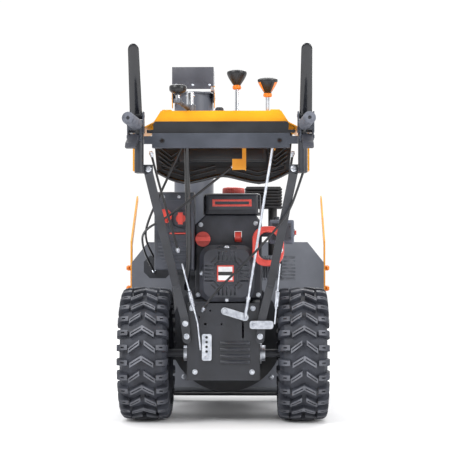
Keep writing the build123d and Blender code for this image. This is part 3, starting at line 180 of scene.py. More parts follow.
def ring_of(bm, profile, centre_x, segments, closed=False):
    """Revolves an (across, radius) profile about the axle line."""
    rings = []
    for turn in range(segments):
        angle = math.tau * turn / segments
        rings.append([bm.verts.new((centre_x + x, AXLE[0] + r * math.sin(angle),
                                    AXLE[1] + r * math.cos(angle)))
                      for x, r in profile])
    count = len(profile) if closed else len(profile) - 1
    for here, after in zip(rings, rings[1:] + rings[:1]):
        for i in range(count):
            j = (i + 1) % len(profile)
            bm.faces.new((here[i], here[j], after[j], after[i]))


def loft(bm, sections, capped=True):
    """Skins a row of closed sections with the same number of points."""
    loops = [[bm.verts.new(point) for point in section] for section in sections]
    for here, after in zip(loops, loops[1:]):
        for i in range(len(here)):
            j = (i + 1) % len(here)
            bm.faces.new((here[i], here[j], after[j], after[i]))
    if capped:
        bm.faces.new(loops[0])
        bm.faces.new(loops[-1][::-1])


def centre_lug(start, end):
    """The stations of an arm on the crown, its groove closed at both ends."""
    stations = []
    for x, depth in ((start, 0), (start + 3.2, 0), (start + 4.2, 1), ((start + end) / 2, 1), (end - 4.2, 1),
                     (end - 3.2, 0), (end, 0)):
        fall = max(0, x - 22)
        stations.append((x, TREAD_RADIUS - fall * 0.1, x, 187 - fall * 0.14, 7.2, depth * GROOVE_DEPTH))
    return stations


def mould_lug(bm, centre_x, side, angle, stations, lag_at):
    """One lug: a grooved bar that stands on the carcass, each station lagging the crown's line."""
    sections = []
    for top_x, top_r, root_x, root_r, half, depth in stations:
        run = math.hypot(root_x - top_x, root_r - top_r)
        deep = (top_x + (root_x - top_x) / run * depth, top_r + (root_r - top_r) / run * depth)
        outline = [(-half - 1.8, root_x, root_r), (-half, top_x, top_r), (-GROOVE_HALF, top_x, top_r),
                   (-GROOVE_HALF, *deep), (GROOVE_HALF, *deep), (GROOVE_HALF, top_x, top_r),
                   (half, top_x, top_r), (half + 1.8, root_x, root_r)]
        section = []
        for along, x, r in outline:
            turn = angle + (along - lag_at(top_x)) / TREAD_RADIUS
            section.append((centre_x + side * x, AXLE[0] + r * math.sin(turn), AXLE[1] + r * math.cos(turn)))
        sections.append(section)
    loft(bm, sections)


def build_tyre(side):
    """The carcass with its two beads and every lug on it."""
    bm = bmesh.new()
    centre_x = side * TRACK
    inner = [(x - 4, r - 4) for x, r in CARCASS[-6:-1]][::-1] + [(44, 140), (40, 178), (0, 181)]
    half = CARCASS + inner
    outline = half + [(-x, r) for x, r in reversed(half) if x]
    ring_of(bm, outline, centre_x, 112, closed=True)
    for row in range(LUG_ROWS):
        angle = math.tau * row / LUG_ROWS
        for arm in (-1, 1):
            if row % 2:
                mould_lug(bm, centre_x, arm, angle, centre_lug(0, 35), lambda x: x * 0.62)
            else:
                mould_lug(bm, centre_x, arm, angle, centre_lug(6.5, 39.5), lambda x: (x - 6.5) * 0.74)
            mould_lug(bm, centre_x, arm, angle, SHOULDER_LUG, lambda x: SHOULDER_LAG)
    name = "tread_tyre_" + ("left" if side < 0 else "right")
    return new_piece(name, bm, rubber, smooth_angle=28)


rubber = tread_rubber()
for side, hand in ((-1, "left"), (1, "right")):
    tyre = build_tyre(side)
    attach(tyre, "wheel_" + hand)
    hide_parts("tyre_" + hand)

# ---------------------------------------------------------------------------------------------
# Wheels' steel: each rim is two pressed halves with a welded disc, powder coated dark grey, and
# its hub is pinned to half of the turned steel axle.
# ---------------------------------------------------------------------------------------------


def worn_edges(tree, shader, cloud, colour, edge_colour, edge_mm):
    """Lets a paler colour through along outside edges, in patches."""
    rounded = add_node(tree, "ShaderNodeBevel", {"samples": 4}, {"Radius": edge_mm * MM})
    flat = add_node(tree, "ShaderNodeNewGeometry")
    agree = add_node(tree, "ShaderNodeVectorMath", {"operation": "DOT_PRODUCT"},
                     links={0: rounded.outputs["Normal"], 1: flat.outputs["Normal"]})
    bare = add_node(tree, "ShaderNodeMapRange", values={"From Min": 0.995, "From Max": 0.86},
                    links={"Value": agree.outputs["Value"]})
    patchy = add_node(tree, "ShaderNodeMath", {"operation": "MULTIPLY"},
                      links={0: bare.outputs["Result"], 1: cloud.outputs["Fac"]})
    rub = add_node(tree, "ShaderNodeMix", {"data_type": "RGBA"},
                   links={"Factor": patchy.outputs["Value"], 6: colour.outputs["Color"]})
    rub.inputs[7].default_value = linear(edge_colour)
    tree.links.new(rub.outputs[2], shader.inputs["Base Color"])


def finished(name, dark, light, cloud_mm, rough, grain_mm, grain_depth_mm, metallic=0.0, edge=None,
             round_mm=0.7,
             **sockets):
    """A mottled, grained surface whose edges are rounded and, where edge gives a colour, worn."""
    material, tree, shader = start_material(name, light, rough[1], metallic, **sockets)
    place, cloud, colour = mottle(tree, shader, dark, light, cloud_mm, *rough)
    _, bump = grain(tree, shader, place, grain_mm, grain_depth_mm)
    if round_mm:
        rounded = add_node(tree, "ShaderNodeBevel", {"samples": 4}, {"Radius": round_mm * MM})
        tree.links.new(rounded.outputs["Normal"], bump.inputs["Normal"])
    if edge:
        worn_edges(tree, shader, cloud, colour, edge, 1.2)
    return material


def finish_node(material, *names):
    """Gives CAD nodes their finish."""
    for name in names:
        mesh = nodes[name].data
        for slot_number in range(len(mesh.materials)):
            mesh.materials[slot_number] = material


# Powder coat over steel: even, softly glossy, with the slight orange peel of cured powder.
rim_powder = finished("rim_powder_coat", "#3B3D44", "#464952", 60, (0.34, 0.5), 2.2, 0.08, edge="#6B6E76")
finish_node(rim_powder, "rim_left", "rim_right")

# ---------------------------------------------------------------------------------------------
# Tractor frame: a folded 3 mm steel case with a pressed rear cover and flanged axle bearings.
# Inside it stand the friction disc, the hexagon shaft and the rubber-rimmed friction wheel.
# ---------------------------------------------------------------------------------------------
LOUVRE_LEVELS = (241, 222, 202, 184.5)
LOUVRE_SPAN = (-10, 79)

# Black powder coat on sheet steel: near-black, softly glossy, rubbed grey along its folds.
frame_powder = finished("frame_powder_coat", "#1F2126", "#2A2C33", 70, (0.3, 0.46), 2.0, 0.08,
                        edge="#5C5F68")
# Bright zinc plate: cool, pale and streaky, duller where it has been handled.
zinc = finished("bright_zinc_plate", "#AEB3BD", "#DDE1E8", 16, (0.22, 0.42), 0.9, 0.03, metallic=1.0)
# Machined steel: darker than zinc, with fine turning marks.
machined = finished("machined_steel", "#8C9098", "#B9BDC4", 12, (0.25, 0.4), 0.7, 0.03, metallic=1.0)

finish_node(frame_powder, "frame_case", "rear_cover")
finish_node(zinc, "axle_bearings", "hex_shaft")
finish_node(machined, "drive_disc", "friction_wheel")


def rounded_box(bm, low, high, radius, segments=3):
    """A box with every edge rounded."""
    size = [b - a for a, b in zip(low, high)]
    middle = Vector([(a + b) / 2 for a, b in zip(low, high)])
    made = bmesh.ops.create_cube(bm, size=1, matrix=Matrix.Translation(middle) @ Matrix.Diagonal((*size, 1)))
    edges = list(dict.fromkeys(edge for vert in made["verts"] for edge in vert.link_edges))
    bmesh.ops.bevel(bm, geom=edges, offset=min(radius, min(size) * 0.49), segments=segments, affect="EDGES",
                    profile=0.5)


def build_louvres():
    """The pressed hoods over the rear cover's slots, each open below."""
    bm = bmesh.new()
    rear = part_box("rear_cover")[0].y / MM
    for level in LOUVRE_LEVELS:
        sections = []
        for step in range(9):
            share = step / 8
            x = LOUVRE_SPAN[0] + share * (LOUVRE_SPAN[1] - LOUVRE_SPAN[0])
            swell = math.sin(math.pi * min(1, max(0, share))) ** 0.35 if 0 < share < 1 else 0.05
            sections.append([(x, rear + 0.2, level + 6), (x, rear - 3.2 * swell, level + 3),
                             (x, rear - 5.5 * swell, level - 1.5),
                             (x, rear - 4.2 * swell, level - 2.5), (x, rear + 0.2, level + 3)])
        loft(bm, sections)
    return new_piece("rear_cover_louvres", bm, frame_powder, smooth_angle=50)


louvres = build_louvres()
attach(louvres, "chassis")

# ---------------------------------------------------------------------------------------------
# Auger housing and impeller drum: 3 mm steel sheet, folded, rolled and welded, with a bolted
# scraper edge below and a steel skid shoe at each side.
# ---------------------------------------------------------------------------------------------
# Grey powder coat: mid grey with a cool cast, satin, with scuffs near its edges.
housing_powder = finished("housing_powder_coat", "#5C5F67", "#6E7179", 120, (0.36, 0.52), 2.4, 0.1,
                          edge="#A3A49F")
# Dark grey powder coat on the drum, a tone below the tractor frame's gloss.
drum_powder = finished("drum_powder_coat", "#24262B", "#303239", 80, (0.38, 0.55), 2.2, 0.09, edge="#6A6D75")

finish_node(housing_powder, "housing_shell", "housing_sides")
finish_node(drum_powder, "impeller_drum", "scraper_bar", "skid_shoes")

# ---------------------------------------------------------------------------------------------
# Augers: two flights of 4 mm steel ribbon, rolled into a helix with a serrated rim and welded on
# spokes to a tube.  The shaft turns in the cast worm gearbox; the impeller stands behind it.
# ---------------------------------------------------------------------------------------------
AUGER_LINE = (505, 190)
FLIGHT_SPAN = (62, 308)
FLIGHT_RADII = (108, 150)
FLIGHT_STEPS = 96

# Black enamel scoured by snow and grit: dull, with bright steel showing at the rims.
auger_enamel = finished("scoured_black_enamel", "#26272B", "#3B3D43", 30, (0.35, 0.6), 1.8, 0.12,
                        edge="#A5A8AE")
# Sand-cast iron under grey paint: coarse, pitted and matt.
gearbox_iron = finished("painted_cast_iron", "#43464D", "#565961", 22, (0.55, 0.75), 2.6, 0.35,
                        edge="#85888F")
finish_node(gearbox_iron, "gearbox_case")
finish_node(auger_enamel, "impeller")


def around_auger(x, radius, angle):
    """A point at an angle round the auger's shaft, measured from the top towards the rear."""
    return (x, AUGER_LINE[0] - radius * math.sin(angle), AUGER_LINE[1] + radius * math.cos(angle))


def lathe(bm, profile, start, aim, segments=32):
    """Turns a profile of (radius, height) about the line that leaves start along aim."""
    turn = Vector(aim).normalized().to_track_quat("Z", "Y").to_matrix()
    rings = []
    for radius, height in profile:
        if radius < 0.01:
            rings.append([bm.verts.new(Vector(start) + turn @ Vector((0, 0, height)))])
            continue
        rings.append([bm.verts.new(Vector(start) + turn @ Vector((
            radius * math.cos(math.tau * i / segments), radius * math.sin(math.tau * i / segments), height)))
            for i in range(segments)])
    faces = []
    for here, after in zip(rings, rings[1:]):
        if len(here) == 1 and len(after) == 1:
            continue
        for i in range(segments):
            j = (i + 1) % segments
            if len(here) == 1:
                faces.append(bm.faces.new((here[0], after[j], after[i])))
            elif len(after) == 1:
                faces.append(bm.faces.new((here[i], here[j], after[0])))
            else:
                faces.append(bm.faces.new((here[i], here[j], after[j], after[i])))
    return faces


def turned_rod(bm, start, end, radius, chamfer=1.0, segments=24):
    """A round bar with its two ends chamfered."""
    run = (Vector(end) - Vector(start)).length
    chamfer = min(chamfer, radius * 0.5, run * 0.3)
    lathe(bm, [(0, 0), (radius - chamfer, 0), (radius, chamfer), (radius, run - chamfer),
               (radius - chamfer, run), (0, run)],
          start, Vector(end) - Vector(start), segments)


def build_augers():
    """Both flights on their tubes, the through shaft and the worm wheel between them."""
    bm = bmesh.new()
    pitch = FLIGHT_SPAN[1] - FLIGHT_SPAN[0]
    for side in (-1, 1):
        sections = []
        for step in range(FLIGHT_STEPS + 1):
            share = step / FLIGHT_STEPS
            angle = math.tau * share
            tooth = FLIGHT_RADII[1] - (7 if step % 4 < 2 else 0)
            x = side * (FLIGHT_SPAN[0] + pitch * share)
            sections.append([around_auger(x + dx, r, angle) for dx, r in
                             ((-2, FLIGHT_RADII[0]), (2, FLIGHT_RADII[0]), (2, tooth), (-2, tooth))])
        loft(bm, sections)
        for share in (0.1, 0.5, 0.9):
            x = side * (FLIGHT_SPAN[0] + pitch * share)
            turned_rod(bm, around_auger(x, 0, 0), around_auger(x, 122, math.tau * share), 7.5)
        turned_rod(bm, (side * 54, *AUGER_LINE), (side * 318, *AUGER_LINE), 16)
        turned_rod(bm, (side * 12, *AUGER_LINE), (side * 334, *AUGER_LINE), 9.8)
    teeth = [(38 + 2 * (tooth % 2), tooth) for tooth in range(48)]
    sections = [[around_auger(x, r * shrink, math.tau * tooth / 48) for r, tooth in teeth]
                for x, shrink in ((-12, 0.95), (-8, 1), (8, 1), (12, 0.95))]
    loft(bm, sections)
    return new_piece("auger_flights", bm, auger_enamel)


flights = build_augers()
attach(flights, "auger")
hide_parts("augers")

# ---------------------------------------------------------------------------------------------
# Engine: a die-cast aluminium block with a finned head, a moulded cowl bolted over the flywheel,
# the recoil starter's slotted cover, and rubber belts to the drive behind it.
# ---------------------------------------------------------------------------------------------
RECOIL_CENTRE = (10, 449)
RECOIL_REAR = -224

# Die-cast aluminium: pale grey, finely pebbled, matt.
cast_alloy = finished("die_cast_aluminium", "#5A5D63", "#7C7F86", 25, (0.45, 0.6), 1.4, 0.15, metallic=0.7)
# Moulded engine plastic: near-black with a cool cast and a satin, spark-eroded grain.
engine_moulding = finished("grained_engine_moulding", "#2B2D34", "#3A3C45", 50, (0.42, 0.58), 1.1, 0.1,
                           edge="#565963")
# Fabric-covered V-belt rubber: dull black with a woven face.
belt_cloth = finished("fabric_covered_belt", "#151518", "#222327", 9, (0.7, 0.9), 1.0, 0.2, round_mm=0)
# Heat-resistant black: flat, slightly brown where it has baked.
stove_black = finished("heat_resistant_black", "#1D1C1D", "#2C2B2D", 28, (0.5, 0.72), 1.5, 0.15,
                       edge="#4A484A")
# Gloss red moulding: bright, a little translucent, with soft wear on its edges.
red_moulding = finished("gloss_red_moulding", "#C4433B", "#DB5148", 20, (0.24, 0.38), 1.4, 0.05,
                        edge="#EC8379",
                        coat_weight=0.25)

finish_node(cast_alloy, "engine_block")
finish_node(machined, "crankshaft")
finish_node(belt_cloth, "belts")
finish_node(engine_moulding, "engine_cowl", "recoil_cover")
finish_node(frame_powder, "belt_cover")
finish_node(red_moulding, "fuel_valve_knob", "engine_switch")


def hex_bolt(bm, place, aim, across=11, height=5, washer=True):
    """A flanged hexagon head that stands on place and points along aim."""
    aim = Vector(aim).normalized()
    start = Vector(place)
    if washer:
        lathe(bm, [(0, 0), (across * 0.78, 0), (across * 0.78, 1), (across * 0.72, 1.4), (0, 1.4)], start,
              aim, 24)
        start = start + aim * 1.2
    corner = across / math.sqrt(3)
    lathe(bm, [(0, 0), (corner, 0), (corner, height - 1.2), (corner * 0.84, height), (0, height)], start,
          aim, 6)


def build_recoil_vent_shade():
    """Two diagonal vents in each corner of the recoil cover, drawn as black bars on its face: painted shade
    for the open slots.
    """
    bm = bmesh.new()
    x0, z0 = RECOIL_CENTRE
    for quadrant in range(4):
        toward = math.pi / 4 + quadrant * math.pi / 2
        for offset in (-8, 4):
            cx = x0 + (52 + offset) * math.cos(toward)
            cz = z0 + (52 + offset) * math.sin(toward)
            dx, dz = -math.sin(toward), math.cos(toward)
            half = 13 - abs(offset + 2) * 0.6
            turned_rod(bm, (cx - dx * half, RECOIL_REAR - 0.1, cz - dz * half),
                       (cx + dx * half, RECOIL_REAR - 0.1, cz + dz * half), 1.7, segments=12)
    # The bars use the heat-resistant black as painted shade, standing for the dark inside of the slots.
    return new_piece("recoil_cover_vent_shade_bars", bm, stove_black)


def build_recoil_rim():
    """A raised square rim round the badge on the cover's face."""
    bm = bmesh.new()
    x0, z0 = RECOIL_CENTRE
    sections = []
    for step in range(48):
        angle = math.tau * step / 48
        square = (abs(math.cos(angle)) ** 5 + abs(math.sin(angle)) ** 5) ** (-1 / 5)
        sections.append([(x0 + r * square * math.cos(angle), RECOIL_REAR + y,
                          z0 + r * square * math.sin(angle))
                         for r, y in ((31, 1), (31.5, -2), (33, -2.6), (34.5, -2), (35, 1))])
    loft(bm, sections + sections[:1], capped=False)
    return new_piece("recoil_cover_rim", bm, engine_moulding, smooth_angle=50)


def number_faces(bm, number, start, stop=None):
    """Gives a run of faces their material number, in the order in which they were made."""
    bm.faces.ensure_lookup_table()
    for face in bm.faces[start:stop]:
        face.material_index = number


def build_badge():
    """A plain oblong badge: a red frame round a pale field with a dark band."""
    bm = bmesh.new()
    x0, z0 = RECOIL_CENTRE
    x0 -= 4
    for low, high, z_low, z_high, y, index in ((-25, 25, -24, 24, 2.2, 0), (-21, 21, -20, 20, 3.0, 1),
                                               (-21, 21, -6, 5, 3.6, 2)):
        start = len(bm.faces)
        rounded_box(bm, (x0 + low, RECOIL_REAR - y, z0 + z_low), (x0 + high, RECOIL_REAR - 0.2, z0 + z_high),
                    0.6, 2)
        number_faces(bm, index, start)
    return new_piece("recoil_cover_badge", bm, red_moulding, pale_foil, stove_black)


def build_recoil_bolts():
    """The flanged bolts round the recoil cover and the cowl."""
    bm = bmesh.new()
    x0, z0 = RECOIL_CENTRE
    for dx, dz in ((0, 76), (0, -76), (-73, 0), (73, 0)):
        hex_bolt(bm, (x0 + dx, RECOIL_REAR + 11, z0 + dz), (0, -1, 0), 10, 5)
    for x, z in ((-78, 384), (104, 384), (-70, 596), (96, 600)):
        hex_bolt(bm, (x, -165, z), (0, -1, 0), 9, 4)
    return new_piece("engine_cover_bolts", bm, zinc)


# Printed foil: near-white, slightly silvery.
pale_foil = finished("printed_foil", "#D9DADD", "#ECEDEF", 15, (0.3, 0.4), 1.5, 0.02, round_mm=0)
for piece in (build_recoil_vent_shade(), build_recoil_rim(), build_badge(), build_recoil_bolts()):
    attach(piece, "chassis")

# ---------------------------------------------------------------------------------------------
# Fuel tank, cap and silencer: a blow-moulded black tank with a plain plate on its rear face, a
# fluted red cap, and a stack of pressed black fins round the hot silencer.
# ---------------------------------------------------------------------------------------------
CAP_CENTRE = (28, -100)
GUARD_LOW = (62, -20, 653)
GUARD_HIGH = (180, 90, 721)

# Blow-moulded polyethylene: black, faintly waxy and uneven.
tank_moulding = finished("blow_moulded_tank", "#202127", "#2D2F37", 45, (0.32, 0.48), 3.0, 0.12,
                         edge="#4A4D56")
finish_node(tank_moulding, "fuel_tank")


def build_cap():
    """A cap with thirty-two flutes round its skirt and a crowned top."""
    bm = bmesh.new()
    count = 128
    rings = []
    for radius, z in ((31.5, 691.2), (33.6, 692.5), (34.4, 696), (34.4, 706), (33.2, 709.5), (29.5, 711.5),
                      (22, 712.4),
                      (19, 713.8), (0, 713.8)):
        ring = []
        for i in range(count):
            flute = 1.3 * (0.5 + 0.5 * math.cos(32 * math.tau * i / count)) if 692 < z < 709.6 else 0
            r = radius - flute
            ring.append((CAP_CENTRE[0] + r * math.cos(math.tau * i / count),
                         CAP_CENTRE[1] + r * math.sin(math.tau * i / count), z))
        rings.append(ring)
    loft(bm, rings[:-1])
    rounded_box(bm, (CAP_CENTRE[0] - 15, CAP_CENTRE[1] - 3, 711),
                (CAP_CENTRE[0] + 15, CAP_CENTRE[1] + 3, 713.9), 1.2)
    return new_piece("fluted_fuel_cap", bm, red_moulding, smooth_angle=40)


def build_tank_plate():
    """A plain moulded plate with two raised red bars, clear of any lettering."""
    bm = bmesh.new()
    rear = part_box("fuel_tank")[0].y / MM
    rounded_box(bm, (-46, rear - 1.4, 641), (96, rear + 0.5, 680), 1.2)
    start = len(bm.faces)
    for z_low, z_high, x_low, x_high in ((665, 671, -34, 84), (650, 656, -34, 84), (655, 666, -34, -26),
                                         (655, 666, 76, 84)):
        rounded_box(bm, (x_low, rear - 2.2, z_low), (x_high, rear - 1, z_high), 0.5, 2)
    number_faces(bm, 1, start)
    return new_piece("fuel_tank_plate", bm, engine_moulding, red_moulding)


def build_silencer():
    """Seven pressed fins on a can, a domed lid, and the exhaust pipe down to the head."""
    bm = bmesh.new()
    rounded_box(bm, (72, -12, 655), (170, 82, 714), 8)
    for fin in range(7):
        z = GUARD_LOW[2] + 1 + fin * 9.4
        rounded_box(bm, (GUARD_LOW[0], GUARD_LOW[1], z), (GUARD_HIGH[0], GUARD_HIGH[1], z + 5.2), 2.2, 2)
    rounded_box(bm, (66, -16, 714), (176, 86, 721), 3)
    lathe(bm, [(0, 0), (14, 0), (14, 150), (0, 150)], (150, 20, 504), (0, 0, 1))
    return new_piece("silencer_fins", bm, stove_black, smooth_angle=40)


cap = build_cap()
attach(cap, "fuel_cap")
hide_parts("fuel_cap")
tank_plate = build_tank_plate()
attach(tank_plate, "chassis")
silencer = build_silencer()
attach(silencer, "chassis")
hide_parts("muffler")

# ---------------------------------------------------------------------------------------------
# Carburettor box and electric start box: moulded covers screwed to brackets beside the engine,
# with turned red knobs, and the red loop handle of the recoil rope.
# ---------------------------------------------------------------------------------------------
BOX_REAR = -230
CHOKE = (-174, 619)
THROTTLE = (-127, 612)
START_CENTRE = (-160, 572)

# Grained box moulding, a cooler and slightly paler grey than the cowl.
box_moulding = finished("grained_box_moulding", "#32353D", "#434650", 60, (0.42, 0.58), 1.2, 0.1,
                        edge="#666A74")
start_moulding = finished("blue_grey_moulding", "#4C515E", "#626876", 40, (0.4, 0.55), 1.2, 0.08,
                          edge="#7F8592")
finish_node(box_moulding, "heater_box")
finish_node(start_moulding, "switch_box")
finish_node(red_moulding, "choke_knob", "throttle_knob", "start_button", "recoil_handle")


def build_box_relief():
    """The lid's seam, the ribs of its lower half and the collars behind both knobs."""
    bm = bmesh.new()
    low, high = (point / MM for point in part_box("heater_box"))
    rounded_box(bm, (low.x + 1, BOX_REAR - 0.8, 666), (high.x - 1, BOX_REAR + 1, 668.5), 0.6, 2)
    for rib in range(8):
        z = 472 + 10.5 * rib
        rounded_box(bm, (low.x + 12 + max(0, 3 - rib) * 7, BOX_REAR - 2.2, z),
                    (high.x - 8, BOX_REAR + 1, z + 5.5), 1, 2)
    for x, z in (CHOKE, THROTTLE):
        lathe(bm, [(0, 0), (24, 0), (24, 0.6), (22, 0.9), (0, 0.9)], (x, BOX_REAR + 0.1, z), (0, -1, 0), 40)
    rounded_box(bm, (low.x + 8, BOX_REAR - 1.6, 578), (high.x - 8, BOX_REAR + 1, 581), 0.8, 2)
    return new_piece("carburettor_box_relief", bm, box_moulding)


def build_box_screws():
    """Two pan-head screws through the lid."""
    bm = bmesh.new()
    for x in (-178, -132):
        lathe(bm, [(0, 0), (4.6, 0), (4.6, 1.2), (3.2, 2.4), (0, 2.6)], (x, BOX_REAR, 677), (0, -1, 0), 24)
    return new_piece("carburettor_box_screws", bm, zinc)


def build_pointer():
    """The red slide that shows in the box's slot."""
    bm = bmesh.new()
    rounded_box(bm, (-160, BOX_REAR + 1, 566), (-112, BOX_REAR + 4.5, 570), 0.8, 2)
    return new_piece("carburettor_box_slide", bm, red_moulding)


def build_knob_arms():
    """Sixteen flutes round the choke knob's skirt, for the fingers."""
    bm = bmesh.new()
    x, z = CHOKE
    for turn in range(16):
        angle = math.tau * turn / 16
        turned_rod(bm, (x + 20.4 * math.cos(angle), BOX_REAR - 2, z + 20.4 * math.sin(angle)),
                   (x + 20.4 * math.cos(angle), BOX_REAR - 11.5, z + 20.4 * math.sin(angle)), 1.3,
                   segments=10)
    return new_piece("choke_knob_flutes", bm, red_moulding)


def build_start_box_trim():
    """The black cap on top of the start box, its key collar and the two pins beside the button."""
    bm = bmesh.new()
    lathe(bm, [(0, 0), (11, 0), (11, 3), (8, 4.5), (8, 10), (6.5, 11.5), (0, 12)], (160, -160, 608.5),
          (0, 0, 1), 32)
    lathe(bm, [(9.5, 0), (12, 0), (12, 2), (10.5, 3), (9.5, 3)], (210.8, *START_CENTRE), (1, 0, 0), 32)
    rounded_box(bm, (146, -201.6, 548), (202, -199.5, 599), 1, 2)
    for z in (556, 590):
        turned_rod(bm, (200, -199, z), (200, -206, z), 2.6, segments=14)
    return new_piece("start_box_trim", bm, engine_moulding)


def build_rope():
    """The braided starter rope between the loop handle and its eye in the recoil cover."""
    rope = bpy.data.curves.new("starter_rope", "CURVE")
    rope.dimensions = "3D"
    rope.bevel_depth = 2.2 * MM
    rope.bevel_resolution = 3
    spline = rope.splines.new("NURBS")
    points = [(92, -212, 500), (96, -220, 502), (99, -226, 506), (101, -228, 512)]
    spline.points.add(len(points) - 1)
    for point, place in zip(spline.points, points):
        point.co = (*(Vector(place) * MM), 1)
    spline.order_u = 3
    spline.use_endpoint_u = True
    holder = bpy.data.objects.new("starter_rope_line", rope)
    mesh = bpy.data.meshes.new_from_object(holder)
    bpy.data.objects.remove(holder)
    piece = bpy.data.objects.new("starter_rope", mesh)
    scene.collection.objects.link(piece)
    paint_piece(piece, belt_cloth)
    return piece


for piece in (build_box_relief(), build_box_screws(), build_pointer(), build_start_box_trim()):
    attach(piece, "chassis")
choke_flutes = build_knob_arms()
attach(choke_flutes, "choke_knob")
rope = build_rope()
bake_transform(rope)

# ---------------------------------------------------------------------------------------------
# Handlebar: two flat steel bars bolted behind the frame, round tube posts above them, foam
# sleeves, glossy moulded paddles on the clamps and ribbed steering triggers under the grips.
# ---------------------------------------------------------------------------------------------
GRIP_LINE = ((228, -552, 857), (236.1, -693.1, 857))
GRIP_RADIUS = 16.5
PADDLE_HUB = (234, -500, 885)
PADDLE_LEAN = math.radians(23.5)

# Satin black powder coat on bar and tube.
bar_powder = finished("bar_powder_coat", "#26282D", "#33353B", 50, (0.3, 0.44), 1.8, 0.07, edge="#6F727A")
# Slate grey powder coat on the folded crossbar and its clamps.
slate_powder = finished("slate_powder_coat", "#353942", "#434751", 60, (0.38, 0.52), 2.0, 0.08,
                        edge="#80848E")
# Closed-cell foam rubber: grey, matt, finely open.
grip_foam = finished("foam_rubber_sleeve", "#4D5059", "#666973", 18, (0.75, 0.92), 1.5, 0.45, round_mm=0)
# Gloss black moulding: deep, wet-looking, with fine handling marks.
gloss_black = finished("gloss_black_moulding", "#0C0D12", "#14161C", 30, (0.12, 0.24), 6.0, 0.02,
                       coat_weight=0.3)
finish_node(bar_powder, "handlebar")
finish_node(slate_powder, "dash_crossbar")
finish_node(engine_moulding, "trigger_left", "trigger_right")


def build_grips():
    """A sleeve on each post, its end rolled in round a small drain hole."""
    bm = bmesh.new()
    for side in (-1, 1):
        start, end = (Vector((side * x, y, z)) for x, y, z in GRIP_LINE)
        run = (end - start).length
        wall = [(13.4, 0.5), (15, 0), (GRIP_RADIUS, 2)]
        wall += [(GRIP_RADIUS - (0.7 if band % 2 else 0), 6 + band * (run - 14) / 22) for band in range(23)]
        wall += [(GRIP_RADIUS, run - 4), (15.8, run - 1.2), (13.5, run), (6, run), (4.6, run - 1),
                 (4.6, run - 9), (0, run - 9)]
        lathe(bm, wall, start, end - start, 48)
    return new_piece("foam_grips", bm, grip_foam)


def build_paddle(side, hand):
    """A blade of oval section that narrows a little to its round tip, on a ribbed hub."""
    bm = bmesh.new()
    hub = Vector((side * PADDLE_HUB[0], *PADDLE_HUB[1:]))
    up = Vector((0, -math.sin(PADDLE_LEAN), math.cos(PADDLE_LEAN)))
    out = Vector((0, -math.cos(PADDLE_LEAN), -math.sin(PADDLE_LEAN)))
    sections = []
    steps = [0, 4, 10, 30, 60, 90, 120, 150, 172, 184] + [186 + 18 * math.sin(math.pi / 2 * i / 8)
                                                          for i in range(1, 9)]
    for along in steps:
        half = 17.4 - 2.2 * min(along, 186) / 186
        thick = 5.3
        if along > 186:
            share = min(0.999, (along - 186) / 18)
            half *= math.sqrt(1 - share * share)
            thick *= math.sqrt(1 - 0.75 * share * share)
        section = []
        for i in range(24):
            angle = math.tau * i / 24
            c, s = math.cos(angle), math.sin(angle)
            wide = half * math.copysign(abs(c) ** 0.8, c)
            deep = thick * math.copysign(abs(s) ** 0.8, s)
            section.append(hub + up * along + Vector((wide, 0, 0)) + out * deep)
        sections.append(section)
    loft(bm, sections)
    for dx in (-16.5, -11, 11, 16.5):
        lathe(bm, [(5.2, -1.5), (9.8, -1.5), (9.8, 1.5), (5.2, 1.5), (5.2, -1.5)], hub + Vector((dx, 0, 0)),
              (1, 0, 0), 32)
    lathe(bm, [(5.2, -18), (9, -18), (9, 18), (5.2, 18), (5.2, -18)], hub, (1, 0, 0), 32)
    return new_piece("squeeze_paddle_" + hand, bm, gloss_black, smooth_angle=50)


def build_trigger_ribs(side, hand):
    """Cross ribs on the trigger's underside where the fingers pull."""
    bm = bmesh.new()
    for rib in range(7):
        y, z = -566 - 9 * rib, 807 - 3.3 * rib
        rounded_box(bm, (side * 235 - 13, y - 1.6, z - 3.5), (side * 235 + 13, y + 1.6, z + 3), 1, 2)
    return new_piece("trigger_ribs_" + hand, bm, engine_moulding)


grips = build_grips()
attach(grips, "chassis")
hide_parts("grips")
for side, hand in ((-1, "left"), (1, "right")):
    paddle = build_paddle(side, hand)
    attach(paddle, "paddle_" + hand)
    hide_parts("paddle_" + hand)
    trigger_ribs = build_trigger_ribs(side, hand)
    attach(trigger_ribs, "trigger_" + hand)

# ---------------------------------------------------------------------------------------------
# Dash: a moulded orange panel over a black fairing with pressed-in ribs, a black edge strip and
# an orange painted steel bracket that hangs down to carry the levers' pivot tube.
# ---------------------------------------------------------------------------------------------
PANEL_TOP = 902
FAIRING_REAR = -271.5
FAIRING_FOOT = [(0, 738), (60, 722), (106, 712), (150, 722), (194, 745)]

# Gloss orange moulding: warm yellow-orange, faintly cloudy, sharp highlights.
orange_moulding = finished("gloss_orange_moulding", "#EE9A00", "#F6A806", 80, (0.26, 0.4), 1.6, 0.04,
                           edge="#F9C04C",
                           coat_weight=0.2)
# Orange powder coat on sheet steel: duller than the moulding, rubbed pale at the edges.
orange_powder = finished("orange_powder_coat", "#DF8E1E", "#EBA12F", 45, (0.34, 0.5), 2.0, 0.08,
                         edge="#F3C57E")
# Satin black moulding of the fairing, finely grained.
dash_moulding = finished("satin_black_moulding", "#17181C", "#212328", 60, (0.34, 0.5), 1.3, 0.08,
                         edge="#44464C")
finish_node(orange_moulding, "dash_panel")
finish_node(dash_moulding, "dash_fairing")
finish_node(orange_powder, "control_bracket", "drift_cutter_left", "drift_cutter_right")


